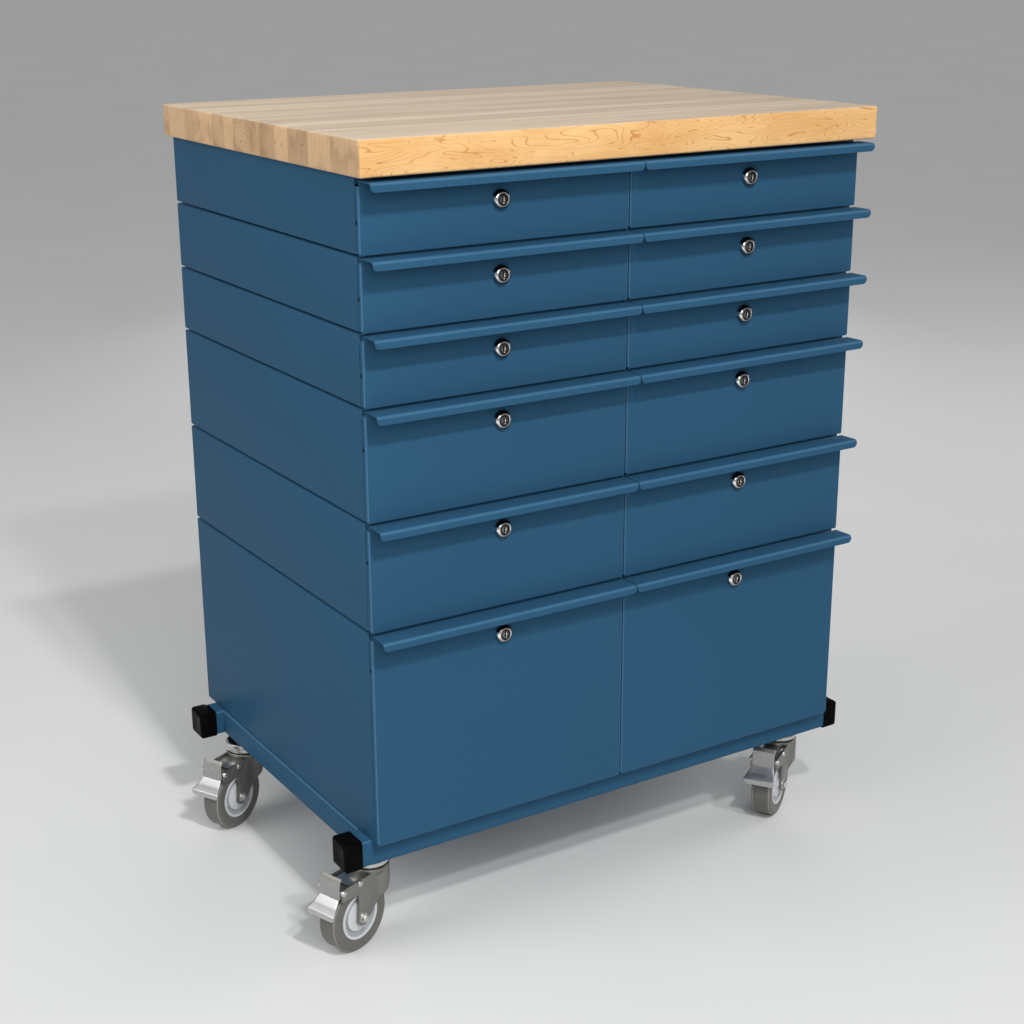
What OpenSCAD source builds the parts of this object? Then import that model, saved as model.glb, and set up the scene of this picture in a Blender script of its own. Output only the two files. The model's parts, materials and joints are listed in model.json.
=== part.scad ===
// Mobile drawer cabinet: two stacks of steel drawer housings under a wooden worktop,
// on a tube base with four braked swivel casters.
// Sizes are in millimetres. +Z is up, +X is to the right and the drawers open towards -Y.
// The origin is on the floor, under the middle of the two stacks of housings.

/* [Housings] */
// Width of one drawer housing
housing_w = 394; // [340:1:460]
// Depth of a drawer housing
housing_d = 568; // [480:1:640]
// Sheet thickness of a housing
housing_sheet = 1.2; // [0.8:0.1:2]
// Gap between the left and the right stack
stack_gap = 2; // [1:0.5:8]
// Gap between one tier and the tier above it
tier_gap = 2.5; // [1.5:0.5:6]
// Pitch of each of the three shallow tiers
shallow_pitch = 94; // [90:1:130]
// Pitch of each of the two middle tiers
middle_pitch = 148; // [110:1:220]
// Pitch of the deep bottom tier
deep_pitch = 304; // [180:1:400]
// Height of the flange that hangs from a housing's top front edge
header_h = 10; // [6:1:14]
// Width of the strips that carry one tier on the next
spacer_w = 20; // [10:1:40]
// Distance from a housing's edges to those strips
spacer_inset = 30; // [20:1:80]

/* [Drawers] */
// Distance from a housing's front edge to the face of its drawer
front_standoff = 10; // [8:0.5:16]
// Sheet thickness of a drawer front
front_sheet = 1.2; // [0.8:0.1:2]
// Gap at each side of a drawer front
front_side_gap = 0.4; // [0.2:0.1:2]
// Gap above a drawer front
front_top_gap = 0.5; // [0.2:0.1:2]
// Gap between the worktop and the fronts of the top tier
first_top_gap = 5; // [0.5:0.5:8]
// Gap below a drawer front
front_bottom_gap = 0.5; // [0.3:0.1:3]
// Gap between a drawer front's folded edges and the housing
return_gap = 1.5; // [0.8:0.1:3]
// Height of the stretch at the top where the folded sides are cut back
relief_h = 48; // [30:1:60]
// Depth of that cut
relief_depth = 2.5; // [1:0.5:4]
// Size of the small square cut in the lower corners of the fold
corner_relief = 3; // [2:0.5:6]
// Sheet thickness of a tray
tray_sheet = 1; // [0.8:0.1:1.5]
// Gap between a tray and the flange above it
tray_top_gap = 3; // [2:0.5:8]
// Gap between a tray and the housing's floor
tray_bottom_gap = 5; // [4:0.5:10]
// Gap between a tray and the housing's back
tray_rear_gap = 18; // [10:1:40]

/* [Handles] */
// How far a handle stands out from the drawer's face
handle_reach = 33; // [25:1:45]
// Sheet thickness of a handle
handle_sheet = 1.5; // [1:0.1:2.5]
// Outside radius of the handle's bend
handle_bend_r = 6; // [4:0.5:8]
// Height of the handle's lip, with its bend
handle_lip_h = 13; // [11:0.5:20]
// Radius of the lip's lower corners
handle_corner_r = 6; // [2:0.5:8]

/* [Slides] */
// Room for a drawer slide at each side of a tray
slide_w = 12.7; // [11:0.1:16]
// Height of a drawer slide
slide_h = 45; // [35:1:50]
// Sheet thickness of a drawer slide
slide_sheet = 1.2; // [0.8:0.1:1.4]
// Running clearance between two members of a slide
slide_clear = 0.3; // [0.2:0.05:0.4]
// How far the outer member stands out from the housing's side
slide_outer_reach = 9.5; // [7:0.1:10]
// Height of a slide above the bottom of its tray
slide_lift = 6; // [3:0.5:12]
// Distance from the housing's front edge to its slides
slide_front_gap = 4; // [2:0.5:20]
// Distance from the housing's back to its slides
slide_rear_gap = 20; // [12:1:60]

/* [Locks] */
// Height from a lock's centre up to the top of its tier
lock_drop = 41; // [36:1:50]
// Diameter of a lock's bezel
lock_bezel_d = 24; // [21:0.5:28]
// Height of the bezel's dome above the drawer's face
lock_bezel_h = 8; // [5:0.5:10]
// Height of the bezel's straight edge
lock_bezel_edge = 2.5; // [1:0.5:4]
// Diameter of a lock's barrel
lock_barrel_d = 19; // [16:0.5:20]
// Thickness of the nut behind a lock
lock_nut_t = 4; // [3:0.5:6]
// Diameter of a lock's plug
lock_plug_d = 12; // [8:0.5:14]
// Depth of the plug's face below the top of the dome
lock_plug_sink = 1.5; // [1.2:0.1:2.5]
// Width of the cam behind a lock
lock_cam_w = 12; // [8:0.5:14]
// Thickness of the cam
lock_cam_t = 2; // [1.5:0.5:3]
// How far the turned cam reaches up behind the flange
lock_cam_bite = 6; // [3:0.5:7]
// Gap between the cam and the flange that it catches
lock_cam_gap = 1; // [0.5:0.1:2]

/* [Worktop] */
// Thickness of the worktop
worktop_t = 44.5; // [30:0.5:60]
// Overhang of the worktop at each side
worktop_side = 11; // [0:0.5:40]
// Overhang of the worktop at the front
worktop_front = 35.5; // [0:0.5:60]
// Overhang of the worktop at the back
worktop_back = 6.5; // [0:0.5:40]
// Bevel along the worktop's edges
worktop_edge = 3; // [1:0.5:6]

/* [Base] */
// Outside size of the base's square tubes
base_tube = 38; // [32:1:50]
// Wall of the base's tubes
base_wall = 2.5; // [1.5:0.5:4]
// Distance from the housings' front edge in to the front cross tube
tube_setback = 10; // [0:1:30]
// Distance from the housings' back edge in to the rear cross tube
rear_setback = 26; // [0:1:40]
// Length of a cross tube past each side of the housings
tube_reach = 38; // [28:0.5:50]
// Width of the rails along the sides
rail_w = 50; // [44:1:60]
// Wall of a tube's end cap
cap_wall = 1.8; // [1:0.1:3]
// Thickness of the closed end of a cap
cap_end = 2.5; // [1.5:0.5:5]
// Length of tube that a cap covers
cap_grip = 23.5; // [15:0.5:26]
// Radius of a cap's long corners
cap_corner_r = 4; // [2:0.5:6]
// Clearance between a cap and its tube
cap_clear = 0.05; // [0.02:0.01:0.2]

/* [Casters] */
// Diameter of a wheel
wheel_d = 102; // [90:1:125]
// Width of a tyre
wheel_w = 32; // [26:1:36]
// Thickness of the tyre on its hub
tyre_t = 16; // [10:1:18]
// Gap between a tyre and each leg of the fork
fork_side_gap = 2.5; // [2:0.5:6]
// Gap between a tyre and the fork's crown
crown_gap = 11; // [9:1:20]
// Sheet thickness of a fork
fork_sheet = 3; // [2:0.5:4]
// Distance from the swivel axis back to the axle
caster_trail = 36; // [28:1:42]
// Distance from the front cross tube in to the swivel axis
kingpin_inset = 21.5; // [18:0.5:40]
// Distance from the rear cross tube in to the swivel axis
rear_inset = 11.5; // [11.5:0.5:40]
// Diameter of the kingpin
kingpin_d = 12; // [10:0.5:16]
// Diameter of an axle
axle_d = 10; // [8:0.5:12]
// Radius of the leg's end around an axle
axle_boss_r = 11.5; // [10:0.5:13]
// Diameter of the upper race
race_d = 57; // [52:1:64]
// Height of the upper race
upper_race_h = 25.2; // [20:0.1:30]
// Height of the lower race
lower_race_h = 2.5; // [2:0.5:6]
// Running clearance between the two races
race_clear = 0.3; // [0.2:0.05:0.5]
// Radial clearance of each turning pin in its hole
pin_clear = 0.05; // [0.02:0.01:0.1]
// Sheet thickness of a brake pedal
pedal_sheet = 1.5; // [1:0.5:2.5]
// Half the width of a pedal's foot
pedal_foot_half = 25; // [22:1:30]
// Diameter of a pedal's pivot pin
pedal_pin_d = 5; // [4:0.5:6]

/* [Fasteners] */
// Diameter of a worktop screw
screw_d = 5; // [4:0.5:7]
// Depth of a worktop screw in the wood
screw_depth = 25; // [15:1:28]
// Diameter of a base bolt
bolt_d = 8; // [6:0.5:10]
// Distance from a stack's middle line to its screws and bolts
fastener_x = 120; // [60:1:140]
// Distance from the cabinet's middle to the worktop screws
screw_y = 180; // [100:1:210]

/* [Hidden] */
$fn = 48;
// Gap at a welded seam, which keeps the pieces of a group apart
seam = 0.1;
// Clearance of a screw, bolt or barrel in its hole
hole_clear = 0.1;
// Small extra length of a cut
cut = 1;

tiers = 6;
sides = ["left", "right"];
function sign_of(side) = side == "left" ? -1 : 1;
function tier_pitch(i) = i < 3 ? shallow_pitch : i < 5 ? middle_pitch : deep_pitch;
function pitch_above(i) = i == 0 ? 0 : pitch_above(i - 1) + tier_pitch(i - 1);

// Heights of the caster, the base and the tiers
axle_z = wheel_d / 2;
crown_z = wheel_d + crown_gap;
lower_race_z = crown_z + fork_sheet;
upper_race_z = lower_race_z + lower_race_h + race_clear;
base_z = upper_race_z + upper_race_h;
base_top = base_z + base_tube;
stack_top = base_top + pitch_above(tiers);
function tier_top(i) = stack_top - pitch_above(i);
function box_bottom(i) = tier_top(i + 1);
function box_top(i) = tier_top(i) - (i > 0 ? tier_gap : 0);

// Places across the width and the depth
half_body_w = housing_w + stack_gap / 2;
housing_front = -housing_d / 2;
housing_back = housing_d / 2;
face_y = housing_front - front_standoff;
function column_x(side) = sign_of(side) * (housing_w + stack_gap) / 2;
kingpin_x = half_body_w - rail_w / 2;
// The middle of the front (-1) or rear (1) cross tube, its inner face and the swivel axes there
function tube_y(ey) = ey < 0 ? housing_front + tube_setback + base_tube / 2
    : housing_back - rear_setback - base_tube / 2;
function tube_inner_y(ey) = tube_y(ey) - ey * base_tube / 2;
function kingpin_y(ey) = tube_inner_y(ey) - ey * (ey < 0 ? kingpin_inset : rear_inset);

// Drawer sizes
front_w = housing_w - 2 * front_side_gap;
return_depth = front_standoff - return_gap;
function front_bottom(i) = box_bottom(i) + front_bottom_gap;
function front_top(i) = box_top(i) - (i > 0 ? front_top_gap : first_top_gap);
tray_w = housing_w - 2 * housing_sheet - 2 * slide_w;
tray_front = face_y + front_sheet + seam;
tray_back = housing_back - housing_sheet - tray_rear_gap;
function tray_bottom(i) = box_bottom(i) + housing_sheet + tray_bottom_gap;
function tray_top(i) = box_top(i) - housing_sheet - header_h - tray_top_gap;

// Slide sizes, as distances from the housing's side and from the slide's middle
slide_l = housing_d - housing_sheet - slide_front_gap - slide_rear_gap;
slide_y = housing_front + slide_front_gap;
function slide_z(i) = tray_bottom(i) + slide_lift + slide_h / 2;
mid_web = slide_sheet + slide_clear;
mid_half = slide_h / 2 - slide_sheet - slide_clear;
inner_half = mid_half - slide_sheet - slide_clear;
inner_tip = mid_web + slide_sheet + slide_clear;
inner_back = slide_w - seam;
mid_tip = inner_back - slide_sheet - 2 * slide_clear;

// Lock sizes, as distances out from the drawer's face
function lock_z(i) = tier_top(i) - lock_drop;
bezel_rise = lock_bezel_h - lock_bezel_edge;
bezel_sphere_r = (pow(lock_bezel_d / 2, 2) + pow(bezel_rise, 2)) / (2 * bezel_rise);
cam_front = -(front_standoff + housing_sheet + lock_cam_gap);
barrel_back = cam_front + slide_clear;
plug_front = lock_bezel_h - lock_plug_sink;
nut_front = -(front_sheet + tray_sheet + 2 * seam);
cam_l = lock_drop - tier_gap - housing_sheet - header_h + lock_cam_bite;
cam_hub_wall = 2;
cam_hub_r = lock_plug_d / 2 + cam_hub_wall;
cam_screw_r = 4;
cam_screw_h = 3;
key_slot = [1.6, 7, 3];

// Caster sizes: the wheel trails towards -X of the caster's own frame
caster_names = ["front_left", "front_right", "rear_left", "rear_right"];
caster_sides = [[-1, -1], [1, -1], [-1, 1], [1, 1]];
caster_turn = [19.5, 32.6, 26.8, 24];
fork_half = wheel_w / 2 + fork_side_gap;
fork_outer = fork_half + fork_sheet;
hub_r = wheel_d / 2 - tyre_t;
hub_gap = 0.4;
hub_half = fork_half - hub_gap;
axle_x = -caster_trail;
crown_past_race = 0.5;
crown_r = race_d / 2 + crown_past_race;
fold_x = -10;
pivot_in_rim = 14;
pivot_over_tyre = 3;
pivot_x = axle_x - (wheel_d / 2 - pivot_in_rim);
pivot_z = wheel_d + pivot_over_tyre;
arm_r = 9.5;
arm_back = 0.5;
arm_drop = 4;
cheek_gap = 1.2;
pedal_half = fork_half - cheek_gap;
cheek_inner = pedal_half - pedal_sheet;
rivet_back = 5;
rivet_over_tyre = 4;
rivet_x = axle_x - rivet_back;
rivet_z = wheel_d + rivet_over_tyre;
rivet_r = 3;
rivet_head_r = 5.5;
rivet_head_h = 2;
axle_head_r = 8.5;
axle_head_h = 6;
kingpin_head_r = 10.5;
kingpin_head_h = 7;
kingpin_nut_h = 6;

steel_blue = [0.17, 0.33, 0.47];
zinc = [0.75, 0.76, 0.77];
maple = [0.86, 0.68, 0.45];
vinyl = [0.04, 0.04, 0.045];
rubber_grey = [0.42, 0.41, 0.40];
chrome = [0.85, 0.86, 0.88];

// A box between two corners
module block(lo, hi) {
    translate(lo) cube(hi - lo);
}

// A flat shape drawn in Y and Z, drawn out along X from x0
module along_x(x0, length) {
    translate([x0, 0, 0]) rotate([90, 0, 90]) linear_extrude(length) children();
}

// A flat shape drawn in X and Z, drawn out along Y from y0
module along_y(y0, length) {
    translate([0, y0 + length, 0]) rotate([90, 0, 0]) linear_extrude(length) children();
}

// A square with round corners, centred
module round_square(size, r) {
    square([size - 2 * r, size], center = true);
    square([size, size - 2 * r], center = true);
    for (sx = [-1, 1], sy = [-1, 1])
        translate([sx * (size / 2 - r), sy * (size / 2 - r)]) circle(r);
}

// The butcher-block top, with bevelled edges and the screws' pilot holes
module worktop() {
    x_half = half_body_w + worktop_side;
    y0 = housing_front - worktop_front;
    y1 = housing_back + worktop_back;
    z0 = stack_top;
    z1 = stack_top + worktop_t;
    e = worktop_edge;
    color(maple) difference() {
        intersection() {
            along_x(-x_half, 2 * x_half)
                polygon([[y0 + e, z0], [y1 - e, z0], [y1, z0 + e], [y1, z1 - e],
                    [y1 - e, z1], [y0 + e, z1], [y0, z1 - e], [y0, z0 + e]]);
            along_y(y0, y1 - y0)
                polygon([[-x_half + e, z0], [x_half - e, z0], [x_half, z0 + e], [x_half, z1 - e],
                    [x_half - e, z1], [-x_half + e, z1], [-x_half, z1 - e], [-x_half, z0 + e]]);
        }
        worktop_screw_places()
            translate([0, 0, z0 - cut]) cylinder(r = screw_d / 2 + hole_clear, h = screw_depth + 2 * cut);
    }
}

module worktop_screw_places() {
    for (side = sides, ex = [-1, 1], ey = [-1, 1])
        translate([column_x(side) + ex * fastener_x, ey * screw_y, 0]) children();
}

module base_bolt_places() {
    for (side = sides, ex = [-1, 1], ey = [-1, 1])
        translate([column_x(side) + ex * fastener_x, tube_y(ey), 0]) children();
}

// Two cross tubes and two side rails, all hollow
module base_frame() {
    tube_half = half_body_w + tube_reach;
    rail_front = tube_inner_y(-1) + seam;
    rail_l = tube_inner_y(1) - seam - rail_front;
    color(steel_blue) {
        difference() {
            for (ey = [-1, 1])
                translate([-tube_half, tube_y(ey), base_z + base_tube / 2])
                    difference() {
                        translate([0, -base_tube / 2, -base_tube / 2])
                            cube([2 * tube_half, base_tube, base_tube]);
                        translate([-cut, base_wall - base_tube / 2, base_wall - base_tube / 2])
                            cube([2 * (tube_half + cut), base_tube - 2 * base_wall,
                                base_tube - 2 * base_wall]);
                    }
            base_bolt_places()
                translate([0, 0, base_top - base_wall - cut])
                    cylinder(r = bolt_d / 2 + hole_clear, h = base_wall + 2 * cut);
        }
        for (ex = [-1, 1])
            difference() {
                translate([ex * kingpin_x - rail_w / 2, rail_front, base_z])
                    cube([rail_w, rail_l, base_tube]);
                translate([ex * kingpin_x - rail_w / 2 + base_wall, rail_front - cut, base_z + base_wall])
                    cube([rail_w - 2 * base_wall, rail_l + 2 * cut, base_tube - 2 * base_wall]);
                for (ey = [-1, 1])
                    translate([ex * kingpin_x, kingpin_y(ey), base_z - cut])
                        cylinder(r = kingpin_d / 2 + hole_clear, h = base_wall + 2 * cut);
            }
    }
}

// Slip-on caps over the four ends of the cross tubes
module tube_end_caps() {
    cap_size = base_tube + 2 * cap_clear + 2 * cap_wall;
    tube_end = half_body_w + tube_reach;
    color(vinyl)
        for (ex = [-1, 1], ey = [-1, 1])
            translate([ex * tube_end, tube_y(ey), base_z + base_tube / 2])
                mirror([ex < 0 ? 1 : 0, 0, 0])
                    difference() {
                        rotate([90, 0, 90])
                            translate([0, 0, -cap_grip])
                                linear_extrude(cap_grip + cap_end) round_square(cap_size, cap_corner_r);
                        translate([-cap_grip - cut, -base_tube / 2 - cap_clear, -base_tube / 2 - cap_clear])
                            cube([cap_grip + cut, base_tube + 2 * cap_clear, base_tube + 2 * cap_clear]);
                    }
}

// Screws up into the worktop and bolts down into the base
module frame_fasteners() {
    head_r = 6;
    head_h = 2.5;
    bolt_past_wall = 8;
    color(zinc) {
        worktop_screw_places()
            translate([0, 0, stack_top - housing_sheet]) {
                cylinder(r = screw_d / 2, h = housing_sheet + screw_depth);
                translate([0, 0, -head_h]) cylinder(r = head_r, h = head_h);
            }
        base_bolt_places()
            translate([0, 0, base_top + housing_sheet]) {
                cylinder(r = head_r, h = head_h);
                translate([0, 0, -housing_sheet - base_wall - bolt_past_wall])
                    cylinder(r = bolt_d / 2, h = housing_sheet + base_wall + bolt_past_wall + head_h);
            }
    }
}

// One open-fronted housing of spot-welded panels, with its front flange and stacking strips
module housing(i, side) {
    t = housing_sheet;
    x0 = column_x(side) - housing_w / 2;
    x1 = column_x(side) + housing_w / 2;
    in0 = x0 + t + seam;
    in1 = x1 - t - seam;
    y0 = housing_front;
    y1 = housing_back;
    z0 = box_bottom(i);
    z1 = box_top(i);
    block([x0, y0, z0], [x0 + t, y1, z1]);
    block([x1 - t, y0, z0], [x1, y1, z1]);
    difference() {
        block([in0, y0, z0], [in1, y1, z0 + t]);
        if (i == tiers - 1)
            base_bolt_places()
                translate([0, 0, z0 - cut]) cylinder(r = bolt_d / 2 + hole_clear, h = t + 2 * cut);
    }
    difference() {
        block([in0, y0, z1 - t], [in1, y1, z1]);
        if (i == 0)
            worktop_screw_places()
                translate([0, 0, z1 - t - cut]) cylinder(r = screw_d / 2 + hole_clear, h = t + 2 * cut);
    }
    block([in0, y1 - t, z0 + t + seam], [in1, y1, z1 - t - seam]);
    block([in0, y0, z1 - t - seam - header_h], [in1, y0 + t, z1 - t - seam]);
    if (i > 0)
        for (e = [-1, 1])
            translate([column_x(side) + e * (housing_w / 2 - spacer_inset - spacer_w / 2), 0, z1 + seam])
                translate([-spacer_w / 2, housing_front + spacer_inset, 0])
                    cube([spacer_w, housing_d - 2 * spacer_inset, tier_gap - seam]);
}

module housing_tier(i) {
    color(steel_blue)
        for (side = sides) housing(i, side);
}

// A channel section: a web from web0, two flanges out to tip, drawn as distance and height
module channel(web0, tip, half) {
    translate([web0, -half]) square([slide_sheet, 2 * half]);
    for (low = [-half, half - slide_sheet])
        translate([min(web0, tip), low]) square([abs(tip - web0), slide_sheet]);
}

// One slide member at one wall of a housing, set out from that wall towards the tray
module slide_member(i, side, e) {
    wall_x = column_x(side) + e * (housing_w / 2 - housing_sheet);
    translate([wall_x, 0, slide_z(i)])
        mirror([e > 0 ? 1 : 0, 0, 0])
            along_y(slide_y, slide_l) children();
}

module slide_outer_members() {
    color(zinc)
        for (i = [0:tiers - 1], side = sides, e = [-1, 1])
            slide_member(i, side, e) channel(0, slide_outer_reach, slide_h / 2);
}

module slide_mid(i, side) {
    color(zinc)
        for (e = [-1, 1])
            slide_member(i, side, e) channel(mid_web, mid_tip, mid_half);
}

module slide_inner(i, side) {
    color(zinc)
        for (e = [-1, 1])
            slide_member(i, side, e) channel(inner_back - slide_sheet, inner_tip, inner_half);
}

// The section of a drawer front: face, bottom fold, handle flange, bend and lip
module front_section(i) {
    z0 = front_bottom(i);
    z1 = front_top(i);
    lip_y = face_y - handle_reach;
    translate([face_y, z0]) square([front_sheet, z1 - z0]);
    translate([face_y, z0]) square([return_depth, front_sheet]);
    translate([lip_y + handle_bend_r, z1 - handle_sheet])
        square([handle_reach - handle_bend_r + front_sheet, handle_sheet]);
    translate([lip_y, z1 - handle_lip_h]) square([handle_sheet, handle_lip_h - handle_bend_r]);
    translate([lip_y + handle_bend_r, z1 - handle_bend_r])
        intersection() {
            difference() {
                circle(handle_bend_r);
                circle(handle_bend_r - handle_sheet);
            }
            translate([-handle_bend_r, 0]) square(handle_bend_r);
        }
}

// What is cut from one lower corner of the lip to round it
module lip_corner(i, side, e) {
    r = handle_corner_r;
    z0 = front_top(i) - handle_lip_h;
    lip_y = face_y - handle_reach;
    translate([column_x(side) + e * (front_w / 2 - r), 0, z0 + r])
        difference() {
            translate([e > 0 ? 0 : -r - cut, lip_y - cut, -r - cut])
                cube([r + cut, handle_bend_r + cut, r + cut]);
            translate([0, lip_y - 2 * cut, 0])
                rotate([-90, 0, 0]) cylinder(r = r, h = handle_bend_r + 4 * cut);
        }
}

// A drawer front folded from one sheet, with its handle along the top
module drawer_front(i, side) {
    x0 = column_x(side) - front_w / 2;
    x1 = column_x(side) + front_w / 2;
    z0 = front_bottom(i);
    z1 = front_top(i);
    color(steel_blue)
        difference() {
            union() {
                along_x(x0, front_w) front_section(i);
                for (x = [x0, x1 - front_sheet]) {
                    block([x, face_y, z0], [x + front_sheet, face_y + return_depth, z1 - relief_h]);
                    block([x, face_y, z1 - relief_h - cut],
                        [x + front_sheet, face_y + return_depth - relief_depth, z1]);
                }
            }
            for (e = [-1, 1]) {
                lip_corner(i, side, e);
                translate([column_x(side) + e * front_w / 2, face_y + front_sheet, z0])
                    translate([-corner_relief, 0, -cut])
                        cube([2 * corner_relief, front_standoff, corner_relief + cut]);
            }
            lock_place(i, side) lock_hole();
        }
}

// A tray of five welded panels
module tray(i, side) {
    t = tray_sheet;
    x0 = column_x(side) - tray_w / 2;
    x1 = column_x(side) + tray_w / 2;
    z0 = tray_bottom(i);
    z1 = tray_top(i);
    wall_z = z0 + t + seam;
    color(steel_blue) {
        block([x0, tray_front, z0], [x1, tray_back, z0 + t]);
        block([x0, tray_front, wall_z], [x0 + t, tray_back, z1]);
        block([x1 - t, tray_front, wall_z], [x1, tray_back, z1]);
        block([x0 + t + seam, tray_back - t, wall_z], [x1 - t - seam, tray_back, z1]);
        difference() {
            block([x0 + t + seam, tray_front, wall_z], [x1 - t - seam, tray_front + t, z1]);
            lock_place(i, side) lock_hole();
        }
    }
}

// Puts a lock's own frame, with +Z out of the drawer's face, at its place
module lock_place(i, side) {
    translate([column_x(side), face_y, lock_z(i)]) rotate([90, 0, 0]) children();
}

module lock_hole() {
    translate([0, 0, cam_front]) cylinder(r = lock_barrel_d / 2 + hole_clear, h = -cam_front + cut);
}

// A lock's barrel with its domed bezel, and the nut that holds it
module lock_barrel() {
    bore_r = lock_plug_d / 2 + pin_clear;
    lock_nut_rim = 4;
    color(chrome) {
        difference() {
            union() {
                translate([0, 0, barrel_back]) cylinder(r = lock_barrel_d / 2, h = seam + cut - barrel_back);
                translate([0, 0, seam])
                    intersection() {
                        cylinder(r = lock_bezel_d / 2, h = lock_bezel_h);
                        translate([0, 0, lock_bezel_h - bezel_sphere_r]) sphere(bezel_sphere_r);
                    }
            }
            translate([0, 0, barrel_back - cut])
                cylinder(r = bore_r, h = lock_bezel_h - barrel_back + 3 * cut);
        }
        translate([0, 0, nut_front - seam - lock_nut_t])
            difference() {
                cylinder(r = lock_barrel_d / 2 + lock_nut_rim, h = lock_nut_t, $fn = 6);
                translate([0, 0, -cut])
                    cylinder(r = lock_barrel_d / 2 + hole_clear, h = lock_nut_t + 2 * cut);
            }
    }
}

// The turning plug with its key slot, and the cam and screw on its tail
module lock_plug(i, side) {
    lock_place(i, side)
        color(chrome) {
            difference() {
                translate([0, 0, cam_front + seam])
                    cylinder(r = lock_plug_d / 2, h = plug_front - cam_front - seam);
                translate([0, 0, plug_front - key_slot[2] / 2 + cut / 2])
                    cube(key_slot + [0, 0, cut], center = true);
            }
            translate([0, 0, cam_front - lock_cam_t]) {
                linear_extrude(lock_cam_t) {
                    circle(cam_hub_r);
                    translate([0, -lock_cam_w / 2]) square([cam_l, lock_cam_w]);
                }
                translate([0, 0, -cam_screw_h]) cylinder(r = cam_screw_r, h = cam_screw_h);
            }
        }
}

module drawer(i, side) {
    drawer_front(i, side);
    tray(i, side);
    slide_inner(i, side);
    lock_place(i, side) lock_barrel();
}

// Puts a caster's own frame at its kingpin, turned as the caster stands
module caster_place(c) {
    translate([caster_sides[c][0] * kingpin_x, kingpin_y(caster_sides[c][1]), 0])
        rotate([0, 0, caster_turn[c]]) children();
}

// A pin across the caster, centred on its middle plane
module cross_pin(x, z, r, half) {
    translate([x, half, z]) rotate([90, 0, 0]) cylinder(r = r, h = 2 * half);
}

// The fixed upper races and the kingpin bolts that hold them to the rails
module caster_mounts() {
    race_r = race_d / 2;
    rim_t = 3;
    rim_gap = 12;
    rim_h = upper_race_h - rim_gap;
    bolt_hole_r = kingpin_d / 2 + hole_clear;
    boss_wall = 8;
    boss_r = kingpin_d / 2 + boss_wall;
    kingpin_low = crown_z - race_clear - kingpin_nut_h;
    color(zinc)
        for (c = [0:3])
            caster_place(c) {
                translate([0, 0, upper_race_z])
                    rotate_extrude()
                        polygon([[bolt_hole_r, 0], [race_r, 0], [race_r, rim_h], [race_r - rim_t, rim_h],
                            [race_r - rim_t, rim_t], [boss_r, rim_t], [boss_r, upper_race_h],
                            [bolt_hole_r, upper_race_h]]);
                translate([0, 0, base_z + base_wall])
                    cylinder(r = kingpin_head_r, h = kingpin_head_h, $fn = 6);
                translate([0, 0, kingpin_low]) {
                    cylinder(r = kingpin_d / 2, h = base_z + base_wall - kingpin_low + cut);
                    cylinder(r = kingpin_head_r, h = kingpin_nut_h, $fn = 6);
                }
            }
}

// The outline of one flat leg of a fork, with its arm back to the pedal's pivot
module leg_outline() {
    front_angle = 40;
    rear_angle = 5;
    top_step = 4;
    fold_low = crown_z - 46;
    leg_back = axle_x - 8;
    notch = [[0, -34], [0, -23], [-3, -16], [-8, -14.5]];
    arm_x = pivot_x + arm_back;
    arm_z = pivot_z - arm_drop;
    translate([axle_x, axle_z]) circle(axle_boss_r);
    translate([arm_x, arm_z]) circle(arm_r);
    polygon(concat(
        [[fold_x + fork_sheet, lower_race_z], [fold_x + fork_sheet, fold_low],
            [axle_x + axle_boss_r * cos(front_angle), axle_z - axle_boss_r * sin(front_angle)],
            [axle_x - axle_boss_r * cos(rear_angle), axle_z + axle_boss_r * sin(rear_angle)]],
        [for (step = notch) [leg_back, pivot_z] + step],
        [[arm_x, arm_z - arm_r], [arm_x, arm_z + arm_r],
            [fold_x - top_step, arm_z + arm_r], [fold_x, lower_race_z]]));
}

// The round front of a fork: a skirt below the crown with a rising lower edge, joined to the flat legs
module fork_skirt() {
    lower_edge = [[29, -25], [20, -26], [12, -30.5], [0, -40.5], [fold_x, -50]];
    ring_y = sqrt(crown_r * crown_r - fold_x * fold_x) - fork_sheet / 2;
    fold_low = crown_z - 48;
    intersection() {
        difference() {
            cylinder(r = crown_r, h = crown_z + cut);
            translate([0, 0, -cut]) cylinder(r = crown_r - fork_sheet, h = crown_z + 3 * cut);
        }
        along_y(-crown_r - cut, 2 * (crown_r + cut))
            polygon(concat([[fold_x, crown_z + cut], [crown_r + cut, crown_z + cut],
                [crown_r + cut, crown_z + lower_edge[0][1]]],
                [for (step = lower_edge) [step[0], crown_z + step[1]]]));
    }
    for (side = [-1, 1])
        translate([fold_x, side > 0 ? fork_half : -max(ring_y, fork_outer), fold_low])
            cube([fork_sheet, max(ring_y, fork_outer) - fork_half, lower_race_z - fold_low]);
}

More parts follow.
